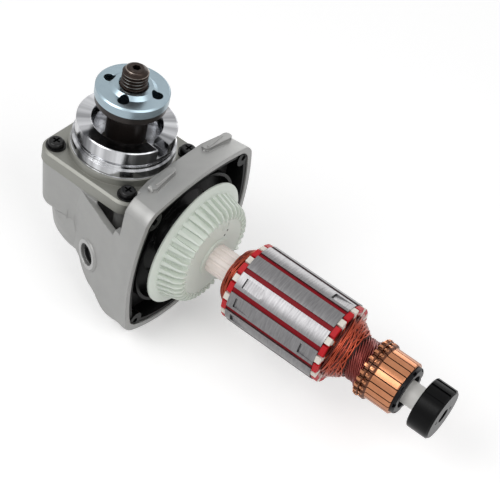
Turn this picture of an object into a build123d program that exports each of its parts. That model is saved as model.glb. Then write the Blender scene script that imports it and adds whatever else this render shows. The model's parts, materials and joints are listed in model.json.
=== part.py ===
from build123d import *
import os
from math import atan, cos, pi, radians, sin, tan

os.makedirs("parts", exist_ok=True)

# All sizes are millimetres. The drawing origin is where the spindle axis (Z) crosses the
# armature axis (X). Each piece is moved at the end so that the part's own origin is the
# middle of the housing mouth, where the motor case bolts on.
MOUTH_X = 60.0

# Fits and clearances
RUN_GAP = 0.05
SHIELD_GAP = 0.15
TOUCH_GAP = 0.3

# Spindle thread (five eighths of an inch), lock nut and flange
THREAD_R = 7.94
THREAD_SEAT_R = 8.4
SPINDLE_TOP_Z = 96.5
SPINDLE_TIP = 2.2
SOCKET_R = 2.6
SOCKET_DEPTH = 8.0
NUT_R = 22.5
NUT_BOTTOM_Z = 75.2
NUT_TOP_Z = 82.3
NUT_HUB_R = 12.6
NUT_HUB_TOP_Z = 84.6
NUT_PIN_HOLE_R = 3.5
NUT_PIN_CIRCLE_R = 15.3
NUT_PIN_TURN = 18.0
FLANGE_R = 21.8
FLANGE_BOTTOM_Z = 70.0
HUB_TOP_Z = FLANGE_BOTTOM_Z - 1.5
HUB_R = 12.4
HUB_BOTTOM_Z = 45.0
SHOULDER_R = 10.0

# Bearing box with its turned collar
BODY_HALF = 37.5
BODY_CORNER_R = 13.0
PLATE_HALF = BODY_HALF
PLATE_CORNER_R = 11.0
PLATE_BOTTOM_Z = 24.0
PLATE_TOP_Z = 33.0
COLLAR_BASE_R = 33.6
COLLAR_BASE_TOP_Z = 38.0
COLLAR_LIP_R = 32.1
COLLAR_LIP_TOP_Z = 43.6
COLLAR_R = 30.75
COLLAR_TOP_Z = 56.7
COLLAR_GROOVE_R = 29.8
COLLAR_GROOVE_Z = 47.0
COLLAR_GROOVE_W = 1.4
COLLAR_BORE_R = 22.0
COLLAR_STEP_R = 19.6
COLLAR_STEP_Z = 52.0
NOTCH_TURN = -4.5
NOTCH_W = 9.0
NOTCH_DEPTH = 7.0
SPIGOT_R = 29.3
SPIGOT_BOTTOM_Z = 19.0
SPIGOT_SEAT_Z = 21.0
BOX_SCREW_PLACE = 28.65
SCREW_SHANK_R = 2.5
SCREW_HEAD_R = 5.0
SCREW_HEAD_H = 3.4
WASHER_R = 6.2
WASHER_H = 1.1

# Ball bearings: bore radius, outer radius, width
SPINDLE_BEARING = (7.5, 17.5, 11.0)
SPINDLE_BEARING_Z = 22.0
FRONT_BEARING = (5.0, 13.0, 8.0)
FRONT_BEARING_X = 36.0
REAR_BEARING = (4.0, 11.0, 7.0)
REAR_BEARING_X = 237.4

# Bevel gears on a common cone tip at the crossing of the axes
MODULE = 1.4
PINION_TEETH = 10
RING_TEETH = 37
FACE_WIDTH = 8.0
PRESSURE_ANGLE = 20.0
PINION_SHIFT = 0.4
FLANK_PLAY = 0.12
RING_BORE_R = 6.5
RING_BACK_Z = 17.0
PINION_BORE_R = 3.6
PINION_BACK_X = 30.0
PINION_NOSE = 1.0
PINION_NUT_R = 5.0
PINION_NUT_H = 4.2
TAIL_R = 5.0
TAIL_BOTTOM_Z = -27.0
TAIL_SHELL_R = 7.0
TAIL_SHELL_TOP_Z = -14.0

# Housing
BODY_BOTTOM_Z = -13.0
BODY_DRAFT = 5.0
CHAMBER_R = 29.4
CHAMBER_BOTTOM_Z = -11.0
MOUTH_DEPTH = 13.0
SKIRT_BACK_X = 38.6
CORNER_CUT = 7.0
BODY_EDGE_R = 7.0
BELLY_R = 38.0
BELLY_BOTTOM_Z = -33.0
RIDGE_H = 1.8
RIDGE_SIZE = (6.0, 24.0)
RIDGES = ((44.7, -20.0, 6.0), (45.0, 32.0, -6.0))
SCREW_BOSS_R = 6.0
WALL = 3.0
DUCT_BOTTOM_Z = 2.0
DUCT_WALL = 4.4
VENT_START_X = -4.0
VENT_KNEE = (8.0, 21.4)
VENT_LOW = (36.6, 18.8)
VENT_END_X = 42.8
CASE_SCREW_PLACE = 42.5
CASE_SCREW_HOLE_R = 2.1
CASE_BOSS_R = 5.0
CASE_EAR_T = 3.5
HANDLE_FACE = (16.2, 42.8, -17.4)
HANDLE_TURN = 21.7
HANDLE_BOSS_R = 11.0
HANDLE_SINK_R = 7.2
HANDLE_SINK_DEPTH = 2.5
HANDLE_HOLE_R = 6.0
HANDLE_HOLE_DEPTH = 12.0

# Sections of the skirt: place along X, reach of the sides, top and bottom in their middles,
# then the reach of the corners to the side, up and down
SKIRT = (
    (-8.0, 35.4, 30.5, 44.5, 35.2, 30.0, 44.0),
    (2.0, 37.6, 30.5, 44.5, 37.4, 30.0, 44.0),
    (12.0, 40.7, 34.0, 44.5, 40.5, 33.5, 44.0),
    (22.0, 44.0, 38.5, 45.5, 43.8, 38.0, 45.0),
    (30.0, 46.7, 44.5, 48.5, 46.4, 44.0, 47.0),
    (SKIRT_BACK_X, 49.0, 49.8, 54.0, 48.4, 49.0, 51.8),
    (46.0, 52.0, 52.0, 57.0, 49.3, 50.2, 52.0),
    (53.0, 54.7, 53.7, 58.8, 50.1, 50.3, 50.9),
    (MOUTH_X, 57.0, 55.0, 60.0, 50.7, 50.3, 50.0),
)
SKIRT_FLOOR = (52.5, 52.3, 57.3, 49.5, 50.2, 51.8)

# Fan
FAN_TURN = 2.7
FAN_BLADE_ROOT = 1.5
FAN_BLADE_TIP = 0.4
FAN_DISC_R = 42.9
FAN_BACK_X = 62.6
FAN_DISC_T = 1.8
FAN_FRONT_X = 79.0
FAN_TIP_X = 80.0
FAN_BLADES = 42
FAN_SEAT_R = 5.5

# Armature
CORE_START_X = 109.5
CORE_END_X = 173.0
CORE_R = 26.3
SLOTS = 12
SLOT_TURN = 2.5
SLOT_MOUTH_W = 3.2
SLOT_ROOT = (13.0, 1.8)
SLOT_TIP = (23.4, 4.2)
PAPER_T = 0.45
END_PLATE_T = 3.6
CUFF_R = 25.6
CUFF_W = 6.4
FINGER_W = 4.4
CUT_DEPTH = 1.4
CUT_W = 6.5
CUTS = ((137.5, 4.5), (167.5, 4.5), (197.5, 4.0), (77.5, 50.0), (167.5, 52.0))
SHAFT_R = 6.0
SLEEVE_R = 9.6
COMM_START_X = 206.0
COMM_END_X = 222.0
COMM_R = 17.3
NECK_R = 13.4
NECK_START_X = 192.0
RISER_R = 18.6
RISER_START_X = 198.5
BARS = 24
BAR_GAP = 0.7
COMM_SEAT_R = 5.0
HUB_END_X = 224.6
HOOK_GROOVE = (201.4, 203.2, 17.3)
REAR_SLEEVE_R = 7.6
BOOT_R = 16.5
BOOT_HOLE_R = 4.6
BOOT_START_X = 234.2
BOOT_END_X = 248.6


def turned_z(points):
    """Turn a closed outline of (radius, height) points about the spindle axis."""
    outline = Polyline(*[(r, 0, z) for r, z in points], close=True)
    return revolve(make_face(outline), Axis.Z)


def turned_x(points):
    """Turn a closed outline of (place along X, radius) points about the armature axis."""
    outline = Polyline(*[(x, r, 0) for x, r in points], close=True)
    return revolve(make_face(outline), Axis.X)


def tube_x(start, end, r_out, r_in):
    """Plain tube on the armature axis."""
    return turned_x([(start, r_in), (end, r_in), (end, r_out), (start, r_out)])


def tube_z(start, end, r_out, r_in):
    """Plain tube on the spindle axis."""
    return turned_z([(r_in, start), (r_in, end), (r_out, end), (r_out, start)])


def drum_x(start, end, radius, y=0.0, z=0.0):
    """Solid round bar along X with its axis at y, z."""
    plane = Plane(origin=(start, y, z), x_dir=(0, 1, 0), z_dir=(1, 0, 0))
    return extrude(plane * Circle(radius), end - start)


def drum_z(start, end, radius, x=0.0, y=0.0):
    """Solid round bar along Z with its axis at x, y."""
    return extrude(Pos(x, y, start) * Circle(radius), end - start)


def bearing_rings(sizes):
    """Outer ring with its two shields, and inner ring, as (place, radius) outlines."""
    bore, outside, width = sizes
    land = bore + 0.3 * (outside - bore)
    race = outside - 0.28 * (outside - bore)
    shield = 0.8
    outer = [
        (0, land + SHIELD_GAP), (shield, land + SHIELD_GAP), (shield, race),
        (width - shield, race), (width - shield, land + SHIELD_GAP),
        (width, land + SHIELD_GAP), (width, outside), (0, outside),
    ]
    inner = [(0, bore), (width, bore), (width, land), (0, land)]
    return outer, inner


def involute(angle):
    """Involute of an angle in radians."""
    return tan(angle) - angle


def tooth_outline(teeth, cone, shift):
    """Half-width and height points of one tooth, seen square to the pitch cone."""
    virtual_r = MODULE * teeth / cos(cone) / 2
    base_r = virtual_r * cos(radians(PRESSURE_ANGLE))
    tip_r = virtual_r + (1 + shift) * MODULE * 0.97
    root_r = virtual_r - (1.25 - shift) * MODULE
    start_r = max(base_r * 1.001, root_r)
    arc = MODULE * (pi / 2 + 2 * shift * tan(radians(PRESSURE_ANGLE))) - 2 * FLANK_PLAY
    at_pitch = arc / (2 * virtual_r) + involute(radians(PRESSURE_ANGLE))
    flank = []
    steps = 4
    for i in range(steps + 1):
        radius = start_r + (tip_r - start_r) * i / steps
        tilt = at_pitch - involute(acos_of(base_r / radius))
        flank.append((radius * sin(tilt), radius * cos(tilt) - virtual_r))
    foot = (flank[0][0] + 0.02, root_r - virtual_r - 0.35)
    return [foot] + flank


def acos_of(value):
    """Inverse cosine by the tangent, for values between nought and one."""
    return atan((1 - value * value) ** 0.5 / value)


def bevel_tooth(teeth, cone, shift):
    """One straight tooth of a bevel gear about Z, at azimuth nought, cone tip at the origin."""
    outer_cone = MODULE * teeth / 2 / sin(cone)
    half = tooth_outline(teeth, cone, shift)
    outline = [(u, v) for u, v in half] + [(-u, v) for u, v in reversed(half)]
    ends = []
    for share in (1.0, (outer_cone - FACE_WIDTH) / outer_cone):
        ring = []
        for u, v in outline:
            x = outer_cone * sin(cone) + v * cos(cone)
            z = outer_cone * cos(cone) - v * sin(cone)
            ring.append((x * share, u * share, z * share))
        ends.append(make_face(Polyline(*ring, close=True)))
    return loft(ends, ruled=True)


def bevel_gear(teeth, cone, shift, blank):
    """Bevel gear about Z: a turned blank that carries its ring of teeth."""
    tooth = bevel_tooth(teeth, cone, shift)
    step = 360.0 / teeth
    return blank.fuse(*[Rot(0, 0, i * step) * tooth for i in range(teeth)])


def cone_point(teeth, cone, height, share):
    """Radius and height of a point above the pitch cone, at a share of the outer cone length."""
    outer_cone = MODULE * teeth / 2 / sin(cone)
    x = outer_cone * sin(cone) + height * cos(cone)
    z = outer_cone * cos(cone) - height * sin(cone)
    return x * share, z * share


PINION_CONE = atan(PINION_TEETH / RING_TEETH)
RING_CONE = pi / 2 - PINION_CONE
INNER_SHARE = 1 - FACE_WIDTH / (MODULE * PINION_TEETH / 2 / sin(PINION_CONE))


def build_pinion():
    """Pinion on the armature axis, one tooth pointing up at the ring gear."""
    root = -(1.25 - PINION_SHIFT) * MODULE
    outer = cone_point(PINION_TEETH, PINION_CONE, root, 1.0)
    inner = cone_point(PINION_TEETH, PINION_CONE, root, INNER_SHARE)
    blank = turned_z([
        (PINION_BORE_R, inner[1] - PINION_NOSE), (inner[0] - 0.4, inner[1] - PINION_NOSE),
        inner, outer, (outer[0], PINION_BACK_X), (PINION_BORE_R, PINION_BACK_X),
    ])
    gear = bevel_gear(PINION_TEETH, PINION_CONE, PINION_SHIFT, blank)
    return Rot(0, 90, 0) * (Rot(0, 0, 180) * gear)


def build_ring_gear():
    """Ring gear on the spindle, teeth facing down, a tooth space over the pinion's top tooth."""
    root = -(1.25 + PINION_SHIFT) * MODULE
    outer = cone_point(RING_TEETH, RING_CONE, root, 1.0)
    inner = cone_point(RING_TEETH, RING_CONE, root, INNER_SHARE)
    rim = outer[0] + 1.6
    blank = turned_z([
        (RING_BORE_R, inner[1] - 1.0), (RING_BORE_R + 3.5, inner[1] - 1.0),
        (inner[0] - 0.2, inner[1]), outer, (rim, outer[1] + 0.6),
        (rim, RING_BACK_Z - 2.0), (rim - 2.0, RING_BACK_Z), (RING_BORE_R, RING_BACK_Z),
    ])
    gear = bevel_gear(RING_TEETH, RING_CONE, -PINION_SHIFT, blank)
    return Rot(0, 0, 180.0 / RING_TEETH) * gear


def mouth_outline(x, sizes, inset=0.0):
    """Four-sided outline across X with bulging sides and cut corners.

    sizes: reach of the sides, the top and the bottom in their middles, then the corners'
    reach to the side, up and down.
    """
    side, up, down, across, high, low = [size - inset for size in sizes]
    middle = (high - low) / 2
    near = 0.42 * CORNER_CUT
    upper = [(across, high - CORNER_CUT), (across - near, high - near), (across - CORNER_CUT, high)]
    lower = [(across - CORNER_CUT, -low), (across - near, -low + near), (across, -low + CORNER_CUT)]
    points = upper + [(0, up)] + [(-y, z) for y, z in reversed(upper)] + [(-side, middle)]
    points += [(-y, z) for y, z in reversed(lower)] + [(0, -down)] + lower + [(side, middle)]
    points = [(x, y, z) for y, z in points]
    arcs = []
    for i in range(0, len(points), 2):
        arcs.append(ThreePointArc(points[i], points[i + 1], points[(i + 2) % len(points)]))
    return make_face(Wire(arcs))


def build_skirt(inset):
    """Flaring skirt from the gear chamber to the mouth, grown outwards by a minus inset."""
    return loft([mouth_outline(x, sizes, inset) for x, *sizes in SKIRT])


def side_profile():
    """Side view of the neck and the skirt: how low they reach at each place along X."""
    face = make_face(Polyline(
        (-10, PLATE_BOTTOM_Z), (-10, -16), (8, -26), (30, -39.5), (33.5, -44.5), (39, -54),
        (40, -70), (MOUTH_X + 1, -70), (MOUTH_X + 1, 70), (SKIRT_BACK_X, 70),
        (SKIRT_BACK_X, PLATE_BOTTOM_Z), close=True))
    return face + Pos(30, -16) * Circle(23.5)


def handle_plane(side, depth):
    """Plane of a handle boss's face, sunk by a depth, looking outwards."""
    x, y, z = HANDLE_FACE
    out_x = -sin(radians(HANDLE_TURN))
    out_y = side * cos(radians(HANDLE_TURN))
    place = (x - depth * out_x, side * y - depth * out_y, z)
    return Plane(origin=place, x_dir=(0, 0, 1), z_dir=(out_x, out_y, 0))


def build_housing():
    """Cast housing: gear chamber, tail boss, skirt with the motor mouth, handle bosses."""
    block = RectangleRounded(2 * BODY_HALF, 2 * BODY_HALF, BODY_CORNER_R)
    top = Plane(origin=(0, 0, PLATE_BOTTOM_Z), x_dir=(1, 0, 0), z_dir=(0, 0, -1))
    body = extrude(top * block, PLATE_BOTTOM_Z - BODY_BOTTOM_Z, taper=BODY_DRAFT)
    body = fillet(body.faces().sort_by(Axis.Z)[0].edges(), BODY_EDGE_R)
    belly = turned_z([
        (0, BODY_BOTTOM_Z + 8), (BELLY_R - 4, BODY_BOTTOM_Z + 8), (BELLY_R, BODY_BOTTOM_Z),
        (BELLY_R, -18), (BELLY_R - 1.2, -25), (BELLY_R - 3.8, -29.5), (BELLY_R - 8, -32),
        (BELLY_R - 13, BELLY_BOTTOM_Z), (14, BELLY_BOTTOM_Z), (13, BELLY_BOTTOM_Z - 1.5),
        (0, BELLY_BOTTOM_Z - 1.5),
    ])
    side_view = Plane(origin=(0, 0, 0), x_dir=(1, 0, 0), z_dir=(0, -1, 0)) * side_profile()
    neck = build_skirt(0.0) & extrude(side_view, 80, both=True)
    shape = body + belly + neck
    ridges = build_skirt(-RIDGE_H)
    for x, y, turn in RIDGES:
        ridge = RectangleRounded(*RIDGE_SIZE, RIDGE_SIZE[0] / 2 - 0.1)
        shape += ridges & extrude(Pos(x, y, 30) * Rot(0, 0, turn) * ridge, 40)
    for side in (-1, 1):
        shape += loft([handle_plane(side, 14) * Circle(HANDLE_BOSS_R + 3),
                       handle_plane(side, 0.8) * Circle(HANDLE_BOSS_R),
                       handle_plane(side, 0) * Circle(HANDLE_BOSS_R - 0.8)], ruled=True)
    # Gear chamber, spigot seat, pinion passage and bearing seats
    shape -= drum_z(CHAMBER_BOTTOM_Z, 60, CHAMBER_R)
    shape -= drum_z(TAIL_BOTTOM_Z - 0.5, 0, TAIL_SHELL_R)
    shape -= drum_x(0, MOUTH_X, 10.0)
    shape -= drum_x(FRONT_BEARING_X, MOUTH_X, FRONT_BEARING[1])
    # Mouth hollow
    depth = MOUTH_X - MOUTH_DEPTH
    seat = drum_x(FRONT_BEARING_X - 4, depth + 4, FRONT_BEARING[1] + 5)
    shape -= build_hollow(depth, MOUTH_X + 0.5, WALL + 0.4, WALL) - seat
    # Air ways from the mouth past the gear chamber to the outlets beside the plate
    guard = drum_z(-40, 60, CHAMBER_R + 2.5)
    for side in (-1, 1):
        guard += drum_z(-40, 60, SCREW_BOSS_R, BOX_SCREW_PLACE, side * BOX_SCREW_PLACE)
    inside = build_skirt(DUCT_WALL)
    for side in (-1, 1):
        low = Pos(30.5, side * 43, (DUCT_BOTTOM_Z + 25) / 2) * Box(36, 34, 25 - DUCT_BOTTOM_Z)
        high = Pos(45, side * 40, 23) * Box(7, 40, 2 * (23 - DUCT_BOTTOM_Z))
        shape -= (inside & (low + high)) - guard
        vent = Plane(origin=(0, side * (BODY_HALF - 0.6), 0), x_dir=(1, 0, 0), z_dir=(0, -1, 0))
        outline = Polyline(
            (VENT_START_X, 60), (VENT_START_X, PLATE_BOTTOM_Z), VENT_KNEE, VENT_LOW,
            (VENT_END_X - 1, 36), (VENT_END_X, 47), (VENT_END_X, 60), close=True)
        shape -= extrude(vent * make_face(outline), -side * 30)
        slant = Polyline((SKIRT_BACK_X, side * 25), (VENT_END_X, side * 46.5),
                         (VENT_END_X, side * 60), (30, side * 60), (30, side * 25), close=True)
        shape -= extrude(Pos(0, 0, PLATE_BOTTOM_Z) * make_face(slant), 40)
    # Bosses and holes for the motor case, the box screws and the handle
    for y in (-1, 1):
        for z in (-1, 1):
            place = (y * CASE_SCREW_PLACE, z * CASE_SCREW_PLACE)
            shape += drum_x(depth - 2, MOUTH_X - CASE_EAR_T, CASE_BOSS_R, *place)
            shape -= drum_x(MOUTH_X - 14, MOUTH_X + 1, CASE_SCREW_HOLE_R, *place)
            spot = (y * BOX_SCREW_PLACE, z * BOX_SCREW_PLACE)
            shape -= drum_z(PLATE_BOTTOM_Z - 14, PLATE_BOTTOM_Z + 1, SCREW_SHANK_R, *spot)
    for side in (-1, 1):
        sunk = handle_plane(side, HANDLE_SINK_DEPTH + HANDLE_HOLE_DEPTH)
        shape -= extrude(sunk * Circle(HANDLE_HOLE_R), HANDLE_SINK_DEPTH + HANDLE_HOLE_DEPTH + 1)
        shape -= extrude(handle_plane(side, HANDLE_SINK_DEPTH) * Circle(HANDLE_SINK_R), 6)
    return shape


def build_hollow(start, end, inset_start, inset_end):
    """Solid that fills the mouth between two places along X, at the given insets."""
    return loft([mouth_outline(start, SKIRT_FLOOR, inset_start),
                 mouth_outline(end, SKIRT[-1][1:], inset_end)])


def build_baffle():
    """Black liner that fills the mouth behind the fan, with an ear over each case boss."""
    floor_x = MOUTH_X - MOUTH_DEPTH
    shape = build_hollow(floor_x, MOUTH_X - 0.8, WALL + 1.4, WALL + 0.6)
    shape -= build_hollow(floor_x + 2.2, MOUTH_X, WALL + 3.4, WALL + 2.6)
    shape += tube_x(floor_x, MOUTH_X - 3.0, 46.0, 44.0)
    shape -= drum_x(floor_x - 1, MOUTH_X, 30.0)
    ear_back = MOUTH_X - CASE_EAR_T
    trim = extrude(mouth_outline(ear_back - 1, SKIRT[-1][1:], WALL + 1.0), CASE_EAR_T + 2)
    for y in (-1, 1):
        for z in (-1, 1):
            place = (y * CASE_SCREW_PLACE, z * CASE_SCREW_PLACE)
            shape -= drum_x(floor_x - 1, ear_back, CASE_BOSS_R + TOUCH_GAP, *place)
            shape += drum_x(ear_back, MOUTH_X, CASE_BOSS_R + 1, *place) & trim
            shape -= drum_x(ear_back - 1, MOUTH_X + 1, CASE_SCREW_HOLE_R, *place)
    return shape


def build_bearing_box():
    """Cast bearing box: square plate, turned collar, spigot and bearing seat."""
    plate = RectangleRounded(2 * PLATE_HALF, 2 * PLATE_HALF, PLATE_CORNER_R)
    shape = extrude(Pos(0, 0, PLATE_BOTTOM_Z) * plate, PLATE_TOP_Z - PLATE_BOTTOM_Z)
    top_edges = shape.faces().sort_by(Axis.Z)[-1].edges()
    shape = chamfer(top_edges, 1.5)
    bore, outside, width = SPINDLE_BEARING
    bearing_top = SPINDLE_BEARING_Z + width
    groove_low = COLLAR_GROOVE_Z - COLLAR_GROOVE_W / 2
    groove_high = COLLAR_GROOVE_Z + COLLAR_GROOVE_W / 2
    shape += turned_z([
        (outside, SPIGOT_BOTTOM_Z), (SPIGOT_R - 4, SPIGOT_BOTTOM_Z), (SPIGOT_R - 4, SPIGOT_SEAT_Z),
        (SPIGOT_R, SPIGOT_SEAT_Z), (SPIGOT_R, PLATE_BOTTOM_Z + 1), (COLLAR_BASE_R, PLATE_BOTTOM_Z + 1),
        (COLLAR_BASE_R, COLLAR_BASE_TOP_Z), (COLLAR_LIP_R, COLLAR_BASE_TOP_Z + 0.4),
        (COLLAR_LIP_R, COLLAR_LIP_TOP_Z), (COLLAR_R, COLLAR_LIP_TOP_Z + 0.8),
        (COLLAR_R, groove_low), (COLLAR_GROOVE_R, groove_low),
        (COLLAR_GROOVE_R, groove_high), (COLLAR_R, groove_high),
        (COLLAR_R, COLLAR_TOP_Z - 0.6), (COLLAR_R - 0.6, COLLAR_TOP_Z),
        (COLLAR_BORE_R, COLLAR_TOP_Z), (COLLAR_STEP_R + 0.3, COLLAR_STEP_Z),
        (COLLAR_STEP_R, COLLAR_STEP_Z - 0.5), (COLLAR_STEP_R, 39), (14.5, 39),
        (14.5, bearing_top), (outside, bearing_top),
    ])
    shape -= drum_z(SPIGOT_BOTTOM_Z - 1, bearing_top, outside)
    shape -= drum_z(bearing_top - 1, 39.5, 14.5)
    notch = Pos(COLLAR_R - 4, 0, COLLAR_TOP_Z) * Box(16, NOTCH_W, 2 * NOTCH_DEPTH)
    shape -= Rot(0, 0, NOTCH_TURN) * notch
    for x in (-1, 1):
        for y in (-1, 1):
            spot = (x * BOX_SCREW_PLACE, y * BOX_SCREW_PLACE)
            shape -= drum_z(PLATE_BOTTOM_Z - 1, PLATE_TOP_Z + 6, SCREW_SHANK_R, *spot)
            shape -= drum_z(PLATE_TOP_Z, PLATE_TOP_Z + 6, WASHER_R + 0.2, *spot)
    return shape


def build_box_screws():
    """Four pan-head cross-recess screws that hold the bearing box."""
    seat = PLATE_TOP_Z + WASHER_H
    shank = drum_z(PLATE_BOTTOM_Z - 12, seat + 0.5, SCREW_SHANK_R)
    head = drum_z(seat, seat + SCREW_HEAD_H, SCREW_HEAD_R)
    head = fillet(head.faces().sort_by(Axis.Z)[-1].edges(), 1.6)
    recess = Pos(0, 0, seat + SCREW_HEAD_H) * (Box(5.4, 1.3, 3.6) + Box(1.3, 5.4, 3.6))
    screw = shank + head - recess
    spots = [(x, y) for x in (-1, 1) for y in (-1, 1)]
    return [Pos(x * BOX_SCREW_PLACE, y * BOX_SCREW_PLACE, 0) * screw for x, y in spots]


def build_box_washers():
    """Four plain washers under the box screws."""
    washer = tube_z(PLATE_TOP_Z, PLATE_TOP_Z + WASHER_H, WASHER_R, SCREW_SHANK_R)
    spots = [(x, y) for x in (-1, 1) for y in (-1, 1)]
    return [Pos(x * BOX_SCREW_PLACE, y * BOX_SCREW_PLACE, 0) * washer for x, y in spots]


def build_bearing_retainer():
    """Ring pressed in under the spindle bearing."""
    outside = SPINDLE_BEARING[1]
    return tube_z(SPIGOT_BOTTOM_Z, SPINDLE_BEARING_Z, outside, outside - 3.5)


def build_felt_seal():
    """Felt seal in the box, above the spindle bearing."""
    top = SPINDLE_BEARING_Z + SPINDLE_BEARING[2]
    return tube_z(top, 38.6, 14.5, SHOULDER_R + TOUCH_GAP)


def build_spindle():
    """Output spindle with its tail journal, gear seat, shoulder and threaded end."""
    bearing_bore = SPINDLE_BEARING[0]
    bearing_top = SPINDLE_BEARING_Z + SPINDLE_BEARING[2]
    shape = turned_z([
        (0, TAIL_BOTTOM_Z), (TAIL_R - 0.6, TAIL_BOTTOM_Z), (TAIL_R, TAIL_BOTTOM_Z + 0.6),
        (TAIL_R, -12.5), (RING_BORE_R, -12.5), (RING_BORE_R, RING_BACK_Z),
        (bearing_bore, RING_BACK_Z), (bearing_bore, bearing_top), (SHOULDER_R, bearing_top),
        (SHOULDER_R, HUB_TOP_Z), (THREAD_SEAT_R, HUB_TOP_Z), (THREAD_SEAT_R, NUT_HUB_TOP_Z),
        (THREAD_R, NUT_HUB_TOP_Z), (THREAD_R, SPINDLE_TOP_Z - SPINDLE_TIP),
        (THREAD_R - SPINDLE_TIP * 0.8, SPINDLE_TOP_Z), (0, SPINDLE_TOP_Z),
    ])
    socket = Pos(0, 0, SPINDLE_TOP_Z - SOCKET_DEPTH) * RegularPolygon(SOCKET_R, 6)
    return shape - extrude(socket, SOCKET_DEPTH + 1)


def build_dust_hub():
    """Black hub on the spindle shoulder that shields the bearing."""
    return turned_z([
        (SHOULDER_R, HUB_BOTTOM_Z), (HUB_R - 1, HUB_BOTTOM_Z), (HUB_R, HUB_BOTTOM_Z + 1),
        (HUB_R, HUB_TOP_Z - 0.5), (HUB_R - 1, HUB_TOP_Z), (SHOULDER_R, HUB_TOP_Z),
    ])


def build_inner_flange():
    """Black flange that the lock nut clamps against."""
    return turned_z([
        (THREAD_SEAT_R, HUB_TOP_Z), (HUB_R + 2, HUB_TOP_Z),
        (FLANGE_R - 1.2, FLANGE_BOTTOM_Z), (FLANGE_R, FLANGE_BOTTOM_Z + 1.5),
        (FLANGE_R, NUT_BOTTOM_Z), (THREAD_SEAT_R, NUT_BOTTOM_Z),
    ])


def build_lock_nut():
    """Round lock nut with four pin holes and a raised hub."""
    shape = turned_z([
        (THREAD_SEAT_R, NUT_BOTTOM_Z), (NUT_R - 0.8, NUT_BOTTOM_Z), (NUT_R, NUT_BOTTOM_Z + 0.8),
        (NUT_R, NUT_TOP_Z - 1.0), (NUT_R - 1.0, NUT_TOP_Z), (NUT_HUB_R + 1.6, NUT_TOP_Z),
        (NUT_HUB_R - 0.8, NUT_HUB_TOP_Z), (THREAD_SEAT_R + 0.7, NUT_HUB_TOP_Z),
        (THREAD_SEAT_R, NUT_HUB_TOP_Z - 0.7),
    ])
    pin = drum_z(NUT_BOTTOM_Z - 1, NUT_TOP_Z + 4, NUT_PIN_HOLE_R, x=NUT_PIN_CIRCLE_R)
    for i in range(4):
        shape -= Rot(0, 0, NUT_PIN_TURN + 90 * i) * pin
    return shape


def build_spindle_bearing():
    """Spindle ball bearing as its outer and inner rings."""
    outer, inner = bearing_rings(SPINDLE_BEARING)
    outer_ring = turned_z([(r, SPINDLE_BEARING_Z + a) for a, r in outer])
    inner_ring = turned_z([(r, SPINDLE_BEARING_Z + a) for a, r in inner])
    return outer_ring, inner_ring


def build_gear_clip():
    """Spring ring that holds the ring gear up against its shoulder."""
    clip = tube_z(3.9, 5.2, RING_BORE_R + 2.6, RING_BORE_R)
    return clip - Pos(-8, 0, 4.5) * Box(10, 4.5, 6)


def build_tail_shell():
    """Needle bearing shell for the spindle's tail."""
    return tube_z(TAIL_BOTTOM_Z, TAIL_SHELL_TOP_Z, TAIL_SHELL_R, TAIL_R + RUN_GAP)


def build_front_bearing():
    """Front armature bearing as its outer and inner rings."""
    outer, inner = bearing_rings(FRONT_BEARING)
    outer_ring = turned_x([(FRONT_BEARING_X + a, r) for a, r in outer])
    inner_ring = turned_x([(FRONT_BEARING_X + a, r) for a, r in inner])
    return outer_ring, inner_ring


def build_front_retainer():
    """Flat ring that keeps the front bearing in its seat."""
    start = FRONT_BEARING_X + FRONT_BEARING[2]
    return tube_x(start, start + 2.5, FRONT_BEARING[1], FRONT_BEARING[1] - 4.0)


def build_shaft():
    """Armature shaft with its seats from the pinion nut to the rear bearing."""
    front = FRONT_BEARING[0]
    rear = REAR_BEARING[0]
    return turned_x([
        (11.0, 0), (11.0, 2.5), (11.6, 3.0), (INNER_PINION_X, 3.0),
        (INNER_PINION_X, PINION_BORE_R), (PINION_BACK_X, PINION_BORE_R),
        (PINION_BACK_X, front), (FAN_BACK_X - 3, front), (FAN_BACK_X - 3, FAN_SEAT_R),
        (FAN_TIP_X, FAN_SEAT_R), (FAN_TIP_X, SHAFT_R), (RISER_START_X - 2, SHAFT_R),
        (RISER_START_X - 2, COMM_SEAT_R), (COMM_END_X + 1.5, COMM_SEAT_R),
        (COMM_END_X + 1.5, rear + 0.5), (REAR_BEARING_X - 1.5, rear + 0.5),
        (REAR_BEARING_X - 1.5, rear), (BOOT_END_X - 1.6, rear), (BOOT_END_X - 0.8, rear - 0.8),
        (BOOT_END_X - 0.8, 0),
    ])


INNER_PINION_X = cone_point(PINION_TEETH, PINION_CONE,
                            -(1.25 - PINION_SHIFT) * MODULE, INNER_SHARE)[1] - PINION_NOSE


def build_pinion_nut():
    """Six-sided nut on the shaft's end."""
    start = INNER_PINION_X - PINION_NUT_H
    return extrude(across_x(start) * (RegularPolygon(PINION_NUT_R, 6) - Circle(3.0)), PINION_NUT_H)


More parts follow.
